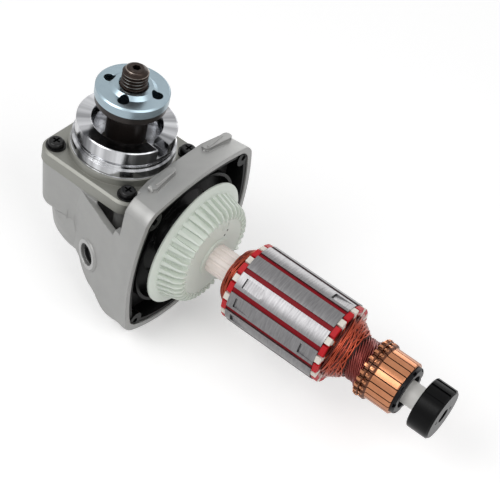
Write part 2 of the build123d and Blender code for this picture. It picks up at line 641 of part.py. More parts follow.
def build_fan():
    """Moulded fan: backing disc, closed cone and a ring of tapering blades."""
    disc_front = FAN_BACK_X + FAN_DISC_T
    shape = turned_x([
        (FAN_BACK_X, FAN_SEAT_R), (FAN_BACK_X, FAN_DISC_R - 0.8), (FAN_BACK_X + 0.5, FAN_DISC_R),
        (disc_front - 0.3, FAN_DISC_R), (disc_front + 1.2, FAN_DISC_R - 4), (disc_front + 1.6, 35),
        (FAN_FRONT_X, 28.2), (FAN_FRONT_X + 0.4, 13.2), (FAN_FRONT_X + 1.4, 12.8),
        (FAN_FRONT_X + 1.4, FAN_SEAT_R + 1), (FAN_FRONT_X - 1, FAN_SEAT_R),
    ])
    blade_side = Plane(origin=(0, 0, 0), x_dir=(1, 0, 0), z_dir=(0, 0, 1))
    outline = Polyline(
        (disc_front + 0.8, 32), (disc_front + 0.8, 37.4), (FAN_TIP_X - 3.0, 34.0),
        (FAN_TIP_X - 0.4, 31.6), (FAN_TIP_X, 30.8), (FAN_TIP_X, 27.2), (FAN_FRONT_X - 1.0, 26.6),
        close=True)
    blade = extrude(blade_side * make_face(outline), FAN_BLADE_ROOT, both=True)
    wedge_face = Polyline((disc_front, -FAN_BLADE_ROOT), (FAN_TIP_X + 0.2, -FAN_BLADE_TIP),
                          (FAN_TIP_X + 0.2, FAN_BLADE_TIP), (disc_front, FAN_BLADE_ROOT), close=True)
    wedge_plane = Plane(origin=(0, 26, 0), x_dir=(1, 0, 0), z_dir=(0, -1, 0))
    blade = blade & extrude(wedge_plane * make_face(wedge_face), -20)
    step = 360.0 / FAN_BLADES
    return shape.fuse(*[Rot(FAN_TURN + i * step, 0, 0) * blade for i in range(FAN_BLADES)])


def build_front_sleeve():
    """Fluted moulded sleeve between the fan and the front winding."""
    plane = Plane(origin=(FAN_FRONT_X + 1.4, 0, 0), x_dir=(0, 1, 0), z_dir=(1, 0, 0))
    ring = Circle(SLEEVE_R) - Circle(SHAFT_R)
    for i in range(12):
        ring -= Rot(0, 0, 30 * i) * Pos(SLEEVE_R + 0.5, 0) * Circle(1.3)
    shape = extrude(plane * ring, CORE_START_X - 6.0 - FAN_FRONT_X - 1.4)
    return shape


def slot_pocket(inset):
    """One slot's tapering pocket across the shaft, shrunk by an inset."""
    root_r, root_half = SLOT_ROOT
    tip_r, tip_half = SLOT_TIP
    return make_face(Polyline(
        (root_r + inset, inset - root_half), (tip_r - inset, inset - tip_half),
        (tip_r - inset, tip_half - inset), (root_r + inset, root_half - inset), close=True))


def slot_turns():
    """Azimuths of the slots, in the drawing plane across the shaft."""
    return [SLOT_TURN + 360.0 / SLOTS * i for i in range(SLOTS)]


def across_x(x):
    """Drawing plane square to the armature axis at a place along it."""
    return Plane(origin=(x, 0, 0), x_dir=(0, 1, 0), z_dir=(1, 0, 0))


def build_core():
    """Laminated core with twelve slots and the milled balance cuts."""
    section = Circle(CORE_R) - Circle(SHAFT_R)
    mouth = Pos(SLOT_TIP[0] + 2.5, 0) * Rectangle(7.0, SLOT_MOUTH_W)
    for turn in slot_turns():
        section -= Rot(0, 0, turn) * slot_pocket(0.0)
        section -= Rot(0, 0, turn) * mouth
    shape = extrude(across_x(CORE_START_X) * section, CORE_END_X - CORE_START_X)
    # Each cut starts with a step and runs out towards the commutator
    cutter = Rot(0, 0, 5.5) * Box(30, 8, CUT_W, align=(Align.MIN, Align.MIN, Align.CENTER))
    for turn, start in CUTS:
        shape -= Rot(turn, 0, 0) * Pos(CORE_START_X + start, CORE_R - CUT_DEPTH, 0) * cutter
    return shape


def along_slots(face, start, end):
    """A face repeated at every slot and drawn out along the shaft."""
    ring = Sketch() + [Rot(0, 0, turn) * face for turn in slot_turns()]
    return extrude(across_x(start) * ring, end - start)


def build_slot_liners():
    """Red paper liners that line the slots, with a folded cuff at both ends."""
    front = CORE_START_X - END_PLATE_T
    rear = CORE_END_X + END_PLATE_T
    shape = along_slots(slot_pocket(0.0) - slot_pocket(PAPER_T), front, rear)
    low = SLOT_TIP[0] - PAPER_T
    cuff = Pos((low + CUFF_R) / 2, 0) * Rectangle(CUFF_R - low, CUFF_W)
    shape += along_slots(cuff, front, CORE_START_X - TOUCH_GAP)
    return shape + along_slots(cuff, CORE_END_X + TOUCH_GAP, rear)


def build_slot_wedges():
    """Red wedges that close the slot mouths."""
    wedge = Pos(SLOT_TIP[0] + 0.8, 0) * Rectangle(1.6, SLOT_MOUTH_W)
    return along_slots(wedge, CORE_START_X - TOUCH_GAP, CORE_END_X + TOUCH_GAP)


def build_slot_coils():
    """Copper that fills the slots inside the liners."""
    return along_slots(slot_pocket(PAPER_T), CORE_START_X - END_PLATE_T, CORE_END_X + END_PLATE_T)


def build_end_insulator(start):
    """White end plate with a finger over the end of every tooth."""
    section = Circle(SLOT_ROOT[0]) - Circle(SHAFT_R)
    for turn in slot_turns():
        finger = Pos(18.4, 0) * Rectangle(11.2, 2.8) + Pos(24.7, 0) * Rectangle(2.0, FINGER_W)
        section += Rot(0, 0, turn + 180.0 / SLOTS) * finger
    return extrude(across_x(start) * section, END_PLATE_T)


def build_front_winding():
    """End turns of the coils at the fan end, as one rounded bundle."""
    end = CORE_START_X - END_PLATE_T
    return turned_x([
        (end, SHAFT_R), (end, 21.6), (end - 2.5, 21.4), (end - 5.5, 19.8), (end - 8.5, 17),
        (end - 10.5, 13.6), (end - 10.8, SLEEVE_R + 1.5), (end - 9, SLEEVE_R),
        (end - 1.5, SLEEVE_R), (end - 1.5, SHAFT_R),
    ])


def build_rear_winding():
    """End turns at the commutator end, narrowing to the bound neck."""
    start = CORE_END_X + END_PLATE_T
    return turned_x([
        (start, SHAFT_R), (start, 22.6), (start + 3.5, 21.6), (start + 8, 18.8),
        (start + 12, 15.8), (NECK_START_X, NECK_R), (RISER_START_X - 2.5, NECK_R),
        (RISER_START_X - 2.5, SHAFT_R),
    ])


def build_binding():
    """Cord lashing round the neck of the winding."""
    turns = []
    for i in range(2):
        start = NECK_START_X + 0.3 + 1.5 * i
        turns.append(tube_x(start, start + 1.2, NECK_R + 1.1, NECK_R))
    return turns


def build_commutator_hub():
    """Black moulded hub under the copper bars, with a notched ring beyond them."""
    shape = turned_x([
        (RISER_START_X - 2, COMM_SEAT_R), (RISER_START_X - 2, 13.0), (RISER_START_X + 1, 13.5),
        (COMM_END_X, 13.5), (COMM_END_X, 15.6), (HUB_END_X - 0.8, 15.6), (HUB_END_X, 14.8),
        (HUB_END_X, 11.0), (COMM_END_X - 1.0, 10.4), (COMM_END_X - 1.0, COMM_SEAT_R),
    ])
    notch = Pos(HUB_END_X, 15.6, 0) * Box(3.0, 3.6, 3.2)
    for i in range(8):
        shape -= Rot(45.0 * i, 0, 0) * notch
    return shape


def build_commutator_bars():
    """Ring of copper bars, each with its raised riser, cut apart by narrow slots."""
    ring = turned_x([
        (RISER_START_X, 13.5), (RISER_START_X, RISER_R - 0.8), (RISER_START_X + 0.8, RISER_R),
        (COMM_START_X - 1.2, RISER_R), (COMM_START_X, COMM_R), (COMM_END_X - 0.6, COMM_R),
        (COMM_END_X, COMM_R - 0.6), (COMM_END_X, 13.5),
    ])
    low_x, high_x, groove_r = HOOK_GROOVE
    ring -= tube_x(low_x, high_x, RISER_R + 1, groove_r)
    length = COMM_END_X - RISER_START_X
    middle = (COMM_END_X + RISER_START_X) / 2
    for i in range(BARS // 2):
        ring -= Rot(360.0 / BARS * (i + 0.5), 0, 0) * Pos(middle, 0, 0) * Box(length + 2, 42, BAR_GAP)
    return ring


def build_rear_sleeve():
    """White insulating sleeve between the commutator and the rear bearing."""
    start = COMM_END_X + 1.5
    end = REAR_BEARING_X - 1.5
    return turned_x([
        (start, REAR_BEARING[0] + 0.5), (start, REAR_SLEEVE_R), (end - 0.5, REAR_SLEEVE_R),
        (end, REAR_SLEEVE_R - 0.5), (end, REAR_BEARING[0] + 0.5),
    ])


def build_rear_bearing():
    """Rear ball bearing as its outer and inner rings."""
    outer, inner = bearing_rings(REAR_BEARING)
    outer_ring = turned_x([(REAR_BEARING_X + a, r) for a, r in outer])
    inner_ring = turned_x([(REAR_BEARING_X + a, r) for a, r in inner])
    return outer_ring, inner_ring


def build_end_boot():
    """Rubber boot on the rear bearing, ribbed outside, open for the shaft's end."""
    outside = REAR_BEARING[1]
    bearing_end = REAR_BEARING_X + REAR_BEARING[2]
    shape = turned_x([
        (BOOT_START_X, 9.2), (BOOT_START_X, BOOT_R - 0.7), (BOOT_START_X + 0.7, BOOT_R),
        (BOOT_END_X - 1.2, BOOT_R), (BOOT_END_X, BOOT_R - 1.2), (BOOT_END_X, BOOT_HOLE_R),
        (bearing_end, BOOT_HOLE_R), (bearing_end, outside), (REAR_BEARING_X, outside),
        (REAR_BEARING_X, 9.2),
    ])
    rib_x = (BOOT_START_X + BOOT_END_X) / 2
    slot = Pos(rib_x, BOOT_R + 0.7, 0) * Box(BOOT_END_X - BOOT_START_X + 2, 3.0, 2.6)
    for turn in (64, 90, 116, 244, 270, 296):
        shape -= Rot(turn, 0, 0) * slot
    for side in (-1, 1):
        shape -= drum_x(BOOT_END_X - 1.6, BOOT_END_X + 1, 1.1, side * 8.0)
    return shape


def save(name, shape):
    """Move a finished piece to the part's origin and write its file."""
    solids = shape if isinstance(shape, list) else [shape]
    whole = Compound(children=[Pos(-MOUTH_X, 0, 0) * s for s in solids])
    count = sum(len(s.solids()) for s in solids)
    export_step(whole, "parts/" + name + ".step")
    box = whole.bounding_box()
    print(name, count, [round(v, 2) for v in (*box.min, *box.max)])


def main():
    spindle_outer, spindle_inner = build_spindle_bearing()
    front_outer, front_inner = build_front_bearing()
    rear_outer, rear_inner = build_rear_bearing()
    pieces = {
        "gear_housing": build_housing(),
        "mouth_baffle": build_baffle(),
        "bearing_box": build_bearing_box(),
        "box_screws": build_box_screws(),
        "box_washers": build_box_washers(),
        "bearing_retainer": build_bearing_retainer(),
        "felt_seal": build_felt_seal(),
        "spindle_bearing_outer": spindle_outer,
        "tail_bearing_shell": build_tail_shell(),
        "front_bearing_outer": front_outer,
        "front_bearing_retainer": build_front_retainer(),
        "spindle": build_spindle(),
        "ring_gear": build_ring_gear(),
        "ring_gear_clip": build_gear_clip(),
        "spindle_bearing_inner": spindle_inner,
        "dust_hub": build_dust_hub(),
        "inner_flange": build_inner_flange(),
        "lock_nut": build_lock_nut(),
        "armature_shaft": build_shaft(),
        "bevel_pinion": build_pinion(),
        "pinion_nut": build_pinion_nut(),
        "front_bearing_inner": front_inner,
        "fan": build_fan(),
        "front_sleeve": build_front_sleeve(),
        "armature_core": build_core(),
        "slot_liners": build_slot_liners(),
        "slot_wedges": build_slot_wedges(),
        "slot_coils": build_slot_coils(),
        "front_end_plate": build_end_insulator(CORE_START_X - END_PLATE_T),
        "rear_end_plate": build_end_insulator(CORE_END_X),
        "front_winding": build_front_winding(),
        "rear_winding": build_rear_winding(),
        "winding_cord": build_binding(),
        "commutator_hub": build_commutator_hub(),
        "commutator_bars": build_commutator_bars(),
        "rear_sleeve": build_rear_sleeve(),
        "rear_bearing_inner": rear_inner,
        "rear_bearing_outer": rear_outer,
        "end_boot": build_end_boot(),
    }
    for name, shape in pieces.items():
        save(name, shape)


main()
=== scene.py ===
"""Looks of a motor armature that is fitted in its right-angle gear head."""

import json
import logging
import math
import random
from dataclasses import dataclass
from enum import Enum
from typing import Any, Iterable, TypeAlias

import bpy
from mathutils import Matrix, Vector

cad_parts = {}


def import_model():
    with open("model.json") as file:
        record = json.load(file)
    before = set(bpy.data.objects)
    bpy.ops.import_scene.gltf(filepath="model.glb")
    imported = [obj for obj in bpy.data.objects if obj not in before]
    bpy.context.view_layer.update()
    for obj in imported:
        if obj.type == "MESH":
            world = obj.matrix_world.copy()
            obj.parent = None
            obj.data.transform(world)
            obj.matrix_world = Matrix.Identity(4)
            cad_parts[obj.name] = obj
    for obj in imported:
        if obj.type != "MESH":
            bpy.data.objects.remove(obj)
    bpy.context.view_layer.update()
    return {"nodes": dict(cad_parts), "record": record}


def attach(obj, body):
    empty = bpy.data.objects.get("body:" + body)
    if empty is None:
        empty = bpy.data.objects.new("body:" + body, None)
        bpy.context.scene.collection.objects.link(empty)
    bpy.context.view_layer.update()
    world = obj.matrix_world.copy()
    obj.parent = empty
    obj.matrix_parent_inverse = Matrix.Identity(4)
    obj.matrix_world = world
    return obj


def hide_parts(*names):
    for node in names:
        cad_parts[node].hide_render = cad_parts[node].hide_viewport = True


Tree: TypeAlias = bpy.types.NodeTree
Piece: TypeAlias = bpy.types.Object
Material: TypeAlias = bpy.types.Material
Outline: TypeAlias = tuple[tuple[float, float], ...]

LOG = logging.getLogger("armature_looks")
MM = 0.001

# The spindle axis stands this far behind the housing mouth, where the part's origin is.
SPINDLE_X = -60.0 * MM

# Painted shade inside the mouth, in metres from the part's origin: the cast housing is painted
# black there in place of its deep shade. It lies between two places along X, widens towards the rim
# by a slope, and its corners are cut off.
MOUTH_BACK, MOUTH_RIM = -15.5 * MM, -0.9 * MM
MOUTH_SLOPE, MOUTH_REACH, MOUTH_CORNER = -0.35, 53.6 * MM, 80.0 * MM

# Rays that look for a surface start this far out, in millimetres.
RAY_START = 200.0


class Pattern(Enum):
    """How a surface was made, which decides its fine relief."""

    SAND_CAST = "sand cast"
    TURNED = "turned"
    MILLED = "milled"
    LAMINATED = "laminated"
    MOULDED = "moulded"
    WOUND = "wound"
    PAPER = "paper"


class Zone(Enum):
    """Where a second finish takes over on a piece."""

    ABOVE_Z = "above a height"
    BEFORE_X = "in front of a place along the armature"
    # Painted shade: the housing's own inside of the mouth painted black.
    IN_MOUTH = "inside the housing's mouth"


@dataclass(frozen=True)
class Finish:
    """One real material and the way its surface was made.

    Attributes:
        title: Plain name of the material and process.
        colour: sRGB colour as a hex string.
        metallic: Principled metallic value.
        roughness: Principled roughness value.
        pattern: Process that gives the fine relief.
        grain_mm: Size of the relief in millimetres.
        relief: Strength of the relief.
        ior: Index of refraction, None keeps the default of a metal.
        shade: Second hex colour for worn or mottled places, and for a second finish's painted
            reflection.
        mottle_mm: Size of the mottled places in millimetres.
        coat: Clear coat weight.
        subsurface: Weight of light passing into the surface.
        spread_mm: How deep that light goes in millimetres.
        anisotropy: How far turning marks stretch a highlight.
        axis: Axis that the turning marks go round.
        edge_mm: Radius of the softened edges, nought for none.
        zone: Where a second finish takes over, None for nowhere.
        zone_mm: Height or place where that zone starts.
        second: The finish of the zone.
    """

    title: str
    colour: str
    metallic: float
    roughness: float
    pattern: Pattern
    grain_mm: float
    relief: float
    ior: float | None = None
    shade: str | None = None
    mottle_mm: float = 6.0
    coat: float = 0.0
    subsurface: float = 0.0
    spread_mm: float = 2.0
    anisotropy: float = 0.0
    axis: str = "Z"
    edge_mm: float = 0.0
    zone: Zone | None = None
    zone_mm: float = 0.0
    second: "Finish | None" = None


# Gloss black polyamide of the liner; it is also painted shade over the cast inside of the mouth
# and on the fan's drilled holes.
BLACK_POLYAMIDE = Finish("black_polyamide_moulded", "#040404", 0.0, 0.42, Pattern.MOULDED, 1.2,
                         0.05, ior=1.24)
# Sand-cast aluminium, shot-blasted: a neutral grey satin with a fine even grain and rounded edges.
# Inside the mouth it is painted black, painted shade for the dark inside of the mouth.
CAST_ALUMINIUM = Finish("cast_aluminium_blasted", "#a1a19f", 0.5, 0.42, Pattern.SAND_CAST, 0.8, 0.2,
                        shade="#969695", mottle_mm=9.0, edge_mm=0.9,
                        zone=Zone.IN_MOUTH, second=BLACK_POLYAMIDE)
# Turned aluminium collar: bright, with fine lathe marks, and its shade is the dark of the
# painted reflection streaks that run out from the spindle's axis.
TURNED_ALUMINIUM = Finish("turned_aluminium", "#dcdde0", 1.0, 0.15, Pattern.TURNED, 0.5, 0.05,
                          shade="#4c4d50")
# The bearing box is cast in a slightly greener, darker grey, and its collar is turned bright,
# with painted reflection streaks.
BOX_ALUMINIUM = Finish("cast_aluminium_box", "#92928c", 0.5, 0.45, Pattern.SAND_CAST, 0.8, 0.16,
                       shade="#878781", mottle_mm=8.0, anisotropy=0.4, edge_mm=0.5,
                       zone=Zone.ABOVE_Z, zone_mm=38.3, second=TURNED_ALUMINIUM)
# Black oxide screws: nearly black with an oily shine.
BLACK_OXIDE = Finish("black_oxide_steel", "#0b0b0c", 0.4, 0.30, Pattern.MILLED, 0.6, 0.06)
# Ground bearing steel.
BEARING_STEEL = Finish("ground_bearing_steel", "#c9c9cb", 1.0, 0.18, Pattern.TURNED, 0.4, 0.04)
# Case-hardened gear steel, slightly dark and oily.
GEAR_STEEL = Finish("case_hardened_steel", "#8a8784", 1.0, 0.32, Pattern.MILLED, 0.6, 0.06)
# Grey pressed felt.
FELT = Finish("pressed_felt", "#5c5852", 0.0, 0.95, Pattern.PAPER, 0.4, 0.4, ior=1.5)
# Dark oiled spindle steel, brown in the thread roots.
SPINDLE_STEEL = Finish("oiled_spindle_steel", "#2c2421", 0.85, 0.34, Pattern.TURNED, 0.5, 0.08,
                       shade="#3a302b", mottle_mm=2.0)
# The crests of the same thread, rubbed bright by the nut and lighter still as a painted highlight.
THREAD_CREST = Finish("rubbed_thread_steel_and_painted_highlight", "#958b84", 1.0, 0.25, Pattern.TURNED, 0.5, 0.08,
                      shade="#6e655f", mottle_mm=1.5)
# Crests of the tapped threads in the aluminium, cut bright.
TAPPED_CREST = Finish("tapped_aluminium", "#c4c4c4", 1.0, 0.22, Pattern.TURNED, 0.5, 0.05)
# Milled face of the handle bosses: the same aluminium, brighter where the cutter ran.
MACHINED_FACE = Finish("milled_aluminium", "#b4b4b3", 0.7, 0.34, Pattern.MILLED, 0.5, 0.1,
                       shade="#a6a6a5", mottle_mm=3.0)
# Painted shade in the tapped bores: near black on the thread flanks and on a thin sleeve of the
# bore, in place of the shadow deep in the holes.
TAPPED_ROOT = Finish("tapped_root_painted_shade", "#0c0c0c", 0.2, 0.6, Pattern.MILLED, 0.5, 0.05)
# Zinc plate with a blue passivation: pale blue-grey, satin.
ZINC_PLATE = Finish("blue_zinc_plate", "#9fb0b8", 1.0, 0.27, Pattern.TURNED, 0.6, 0.06,
                    shade="#93a4ae", mottle_mm=5.0, anisotropy=0.55, edge_mm=0.3)
# Phosphated black steel of the flange and hub.
BLACK_PHOSPHATE = Finish("black_phosphate_steel", "#1c1a19", 0.5, 0.36, Pattern.TURNED, 0.6, 0.06,
                         shade="#2a2320", mottle_mm=6.0)
# Ground shaft steel.
SHAFT_STEEL = Finish("ground_shaft_steel", "#c4c4c6", 1.0, 0.20, Pattern.TURNED, 0.4, 0.04)
# Natural polyamide: milky, faintly green, light passes in a little.
NATURAL_POLYAMIDE = Finish("natural_polyamide_moulded", "#d6ddd4", 0.0, 0.38, Pattern.MOULDED,
                           1.5, 0.03, ior=1.53, subsurface=0.3, spread_mm=2.0)
# Cream polyester sleeve with a pinkish cast.
CREAM_POLYESTER = Finish("cream_polyester_moulded", "#f3e9e3", 0.0, 0.5, Pattern.MOULDED, 1.0, 0.04,
                         ior=1.5, subsurface=0.2, spread_mm=1.5)
# Stack of punched electrical steel sheets, turned outside: bright, fine lines across.
CORE_STEEL = Finish("laminated_core_steel", "#929192", 1.0, 0.32, Pattern.LAMINATED, 0.9, 0.12,
                    shade="#5c5b5d", mottle_mm=0.9, axis="X", anisotropy=0.3)
# Red vulcanised fibre paper of the slots.
RED_PAPER = Finish("red_fibre_paper", "#c4121c", 0.0, 0.48, Pattern.PAPER, 0.8, 0.1, ior=1.35,
                   shade="#a8121e", mottle_mm=3.0)
# The same fibre pressed into the slot mouths: older looking, darker red.
RED_WEDGE = Finish("red_fibre_wedge", "#8c101c", 0.0, 0.46, Pattern.PAPER, 0.8, 0.1, ior=1.25,
                   shade="#740c16", mottle_mm=4.0)
# Off-white moulded insulator.
WHITE_INSULATOR = Finish("white_polyester_insulator", "#dcd6cc", 0.0, 0.5, Pattern.MOULDED, 1.0,
                         0.04, ior=1.5, subsurface=0.1, spread_mm=1.0)
# Enamelled copper winding wire: red-brown under a clear varnish.
ENAMELLED_WIRE = Finish("enamelled_copper_wire", "#9c3a20", 0.7, 0.30, Pattern.WOUND, 0.9, 0.15,
                        shade="#7c2614", mottle_mm=4.0, coat=0.3)
# Wires on top of a bundle, where the varnish is thin and the copper shines through.
BRIGHT_WIRE = Finish("bright_copper_wire", "#aa4427", 0.8, 0.28, Pattern.WOUND, 0.9, 0.15,
                     shade="#93381f", mottle_mm=4.0, coat=0.3)
# Wires sunk lower in a bundle: painted shade, the same wire darkened for the shade of those above.
DARK_WIRE = Finish("dark_copper_wire", "#5a1c10", 0.6, 0.34, Pattern.WOUND, 0.9, 0.15,
                   shade="#3a110a", mottle_mm=4.0, coat=0.2)
# Leads at the neck: the same wire under a darker, purplish varnish.
LEAD_WIRE = Finish("varnished_copper_lead", "#8c342a", 0.7, 0.32, Pattern.WOUND, 0.9, 0.15,
                   shade="#5e2320", mottle_mm=3.0, coat=0.3)
# Varnish and shadow deep between the wires.
WIRE_DEPTH = Finish("varnish_and_painted_shade_depth", "#250b06", 0.1, 0.5, Pattern.WOUND, 0.9, 0.3,
                    ior=1.5)
# Lashing cord soaked in varnish.
LASHING_CORD = Finish("varnished_lashing_cord", "#7c3324", 0.1, 0.45, Pattern.WOUND, 0.6, 0.3,
                      ior=1.3)
# Varnish run over the copper where the wires are fused to the risers.
RISER_VARNISH = Finish("varnished_riser_copper", "#5e3520", 0.6, 0.40, Pattern.TURNED, 0.6, 0.2)
# Freshly turned commutator copper.
TURNED_COPPER = Finish("turned_copper", "#c08663", 1.0, 0.24, Pattern.TURNED, 0.4, 0.06,
                       shade="#a86d4e", mottle_mm=5.0, anisotropy=0.4, axis="X")
# The bars are bright where the brushes run and dark with varnish at the risers.
BAR_COPPER = Finish("turned_copper_bar", "#c08663", 1.0, 0.24, Pattern.TURNED, 0.4, 0.06,
                    shade="#a86d4e", mottle_mm=5.0, anisotropy=0.4, axis="X",
                    zone=Zone.BEFORE_X, zone_mm=145.7, second=RISER_VARNISH)
# Black phenolic moulding.
BLACK_PHENOLIC = Finish("black_phenolic_moulded", "#0b0c10", 0.0, 0.34, Pattern.MOULDED, 1.0, 0.06,
                        ior=1.25)
# White insulating sleeve.
WHITE_SLEEVE = Finish("white_polyester_sleeve", "#e4e2de", 0.0, 0.45, Pattern.MOULDED, 1.0, 0.03,
                      ior=1.5, subsurface=0.1, spread_mm=1.0)
# Black moulded rubber boot.
BLACK_RUBBER = Finish("black_rubber_moulded", "#050506", 0.0, 0.26, Pattern.MOULDED, 0.9, 0.05,
                      ior=1.2)

NODE_FINISH = {
    "slot_wedges": RED_WEDGE,
    "inner_flange": BLACK_PHOSPHATE,
    "dust_hub": BLACK_PHOSPHATE,
    "commutator_bars": BAR_COPPER,
}

SLOT_FINISH = {
    "cast_housing": CAST_ALUMINIUM,
    "cast_box": BOX_ALUMINIUM,
    "black_plastic": BLACK_POLYAMIDE,
    "black_steel": BLACK_OXIDE,
    "bearing_steel": BEARING_STEEL,
    "gear_steel": GEAR_STEEL,
    "felt": FELT,
    "spindle_steel": SPINDLE_STEEL,
    "zinc_steel": ZINC_PLATE,
    "shaft_steel": SHAFT_STEEL,
    "nylon": NATURAL_POLYAMIDE,
    "cream_plastic": CREAM_POLYESTER,
    "core_steel": CORE_STEEL,
    "red_paper": RED_PAPER,
    "white_insulator": WHITE_INSULATOR,
    "enamelled_copper": ENAMELLED_WIRE,
    "cord": LASHING_CORD,
    "commutator_copper": TURNED_COPPER,
    "black_phenolic": BLACK_PHENOLIC,
    "white_sleeve": WHITE_SLEEVE,
    "boot_rubber": BLACK_RUBBER,
}


def linear_colour(hex_colour: str) -> tuple[float, float, float, float]:
    """Turn an sRGB hex colour to linear light.

    Args:
        hex_colour: Colour such as "#b4b1ab".

    Returns:
        Linear red, green, blue and full alpha.
    """
    parts = [int(hex_colour[i:i + 2], 16) / 255.0 for i in (1, 3, 5)]
    line = [p / 12.92 if p <= 0.04045 else ((p + 0.055) / 1.055) ** 2.4 for p in parts]
    return line[0], line[1], line[2], 1.0


def add_node(tree: Tree, kind: str, settings: dict[str, Any] | None = None,
             values: dict[str | int, Any] | None = None,
             links: dict[str | int, Any] | None = None) -> bpy.types.Node:
    """Add a shader node with its settings, socket values and incoming links.

    Args:
        tree: Node tree to add to.
        kind: Node type name.
        settings: Node properties to set.
        values: Constant value of each socket, by name or number.
        links: Output socket that feeds each socket, by name or number.

    Returns:
        The new node.
    """
    node = tree.nodes.new(kind)
    for key, value in (settings or {}).items():
        setattr(node, key, value)
    for key, value in (values or {}).items():
        node.inputs[key].default_value = value
    for key, source in (links or {}).items():
        tree.links.new(source, node.inputs[key])
    return node


class FinishNodes:
    """One procedural material with the shader nodes of its finish.

    Attributes:
        finish: The finish being built.
        material: The new material.
        tree: Its node tree.
        shader: Its Principled node.
        place: Object coordinates output.
    """

    def __init__(self, finish: Finish) -> None:
        """Build the whole material.

        Args:
            finish: The finish to build.
        """
        self.finish = finish
        self.material = bpy.data.materials.new(finish.title)
        self.material.use_nodes = True
        self.tree = self.material.node_tree
        self.shader = self.tree.nodes["Principled BSDF"]
        self.place = add_node(self.tree, "ShaderNodeTexCoord").outputs["Object"]
        self.plain_values()
        if finish.shade is not None:
            self.mottle()
        self.relief()
        if finish.anisotropy:
            marks = add_node(self.tree, "ShaderNodeTangent",
                             {"direction_type": "RADIAL", "axis": finish.axis})
            self.tree.links.new(marks.outputs["Tangent"], self.shader.inputs["Tangent"])
        if finish.zone is not None and finish.second is not None:
            self.second_finish(self.zone_mask())

    def plain_values(self) -> None:
        """Set the single constants straight on the shader's sockets."""
        finish = self.finish
        values = {
            "Base Color": linear_colour(finish.colour),
            "Metallic": finish.metallic,
            "Roughness": finish.roughness,
            "Anisotropic": finish.anisotropy,
        }
        if finish.ior is not None:
            values["IOR"] = finish.ior
        if finish.coat:
            values |= {"Coat Weight": finish.coat, "Coat Roughness": 0.25}
        if finish.subsurface:
            values |= {"Subsurface Weight": finish.subsurface,
                       "Subsurface Scale": finish.spread_mm * MM,
                       "Subsurface Radius": (1.0, 1.0, 0.9)}
        for name, value in values.items():
            self.shader.inputs[name].default_value = value

    def zone_mask(self) -> Any:
        """Find where the second finish takes over.

        Returns:
            Output socket that is one inside the finish's zone and nought outside it.
        """
        tree, finish = self.tree, self.finish
        axes = add_node(tree, "ShaderNodeSeparateXYZ", None, None, {"Vector": self.place}).outputs
        start = finish.zone_mm * MM
        tests = {
            Zone.ABOVE_Z: (("GREATER_THAN", axes["Z"], start),),
            Zone.BEFORE_X: (("LESS_THAN", axes["X"], start),),
            Zone.IN_MOUTH: (("GREATER_THAN", axes["X"], MOUTH_BACK),
                            ("LESS_THAN", axes["X"], MOUTH_RIM)),
        }[finish.zone]
        # Painted shade: the mouth's inside, a box that tapers along X with its corners cut off.
        if finish.zone is Zone.IN_MOUTH:
            side, height = (add_node(tree, "ShaderNodeMath", {"operation": "ABSOLUTE"}, None,
                                     {0: axes[axis]}).outputs[0] for axis in "YZ")
            reach, corner = (add_node(tree, "ShaderNodeMath", {"operation": operation}, None,
                                      {0: side, 1: height}).outputs[0]
                             for operation in ("MAXIMUM", "ADD"))
            taper = add_node(tree, "ShaderNodeMath", {"operation": "MULTIPLY_ADD"},
                             {1: MOUTH_SLOPE}, {0: axes["X"], 2: reach}).outputs[0]
            tests += (("LESS_THAN", taper, MOUTH_REACH), ("LESS_THAN", corner, MOUTH_CORNER))
        mask = None
        for operation, source, limit in tests:
            test = add_node(tree, "ShaderNodeMath", {"operation": operation}, {1: limit},
                            {0: source}).outputs[0]
            mask = test if mask is None else add_node(
                tree, "ShaderNodeMath", {"operation": "MULTIPLY"}, None,
                {0: mask, 1: test}).outputs[0]
        return mask

    def painted_reflection_streaks(self, finish: Finish) -> Any:
        """Painted reflection: light and dark streaks out from the spindle's axis, for lathe-groove
        sheen.

        Args:
            finish: The turned finish whose two colours give the light and dark of the painted
                reflection.

        Returns:
            Output socket with the colour.
        """
        tree = self.tree
        centred = add_node(tree, "ShaderNodeMapping", {"vector_type": "POINT"},
                           {"Location": (-SPINDLE_X, 0.0, 0.0), "Scale": (1.0, 1.0, 0.0)},
                           {"Vector": self.place})
        outward = add_node(tree, "ShaderNodeVectorMath", {"operation": "NORMALIZE"}, None,
                           {0: centred.outputs["Vector"]})
        bands = add_node(tree, "ShaderNodeTexNoise", {"noise_dimensions": "3D"},
                         {"Scale": 2.3, "Detail": 2.5, "Roughness": 0.55},
                         {"Vector": outward.outputs[0]})
        steep = add_node(tree, "ShaderNodeMapRange", None, {"From Min": 0.32, "From Max": 0.64},
                         {"Value": bands.outputs["Fac"]})
        mix = add_node(tree, "ShaderNodeMix", {"data_type": "RGBA"},
                       {6: linear_colour(finish.shade), 7: linear_colour(finish.colour)},
                       {0: steep.outputs["Result"]})
        return mix.outputs[2]

    def second_finish(self, mask: Any) -> None:
        """Change colour, metal and roughness to the second finish inside its zone.

        Args:
            mask: Output socket that is one inside the zone.
        """
        tree, shader, first, second = self.tree, self.shader, self.finish, self.finish.second
        mix = add_node(tree, "ShaderNodeMix", {"data_type": "RGBA"},
                       {6: linear_colour(first.colour), 7: linear_colour(second.colour)},
                       {0: mask})
        if shader.inputs["Base Color"].links:
            tree.links.new(shader.inputs["Base Color"].links[0].from_socket, mix.inputs[6])
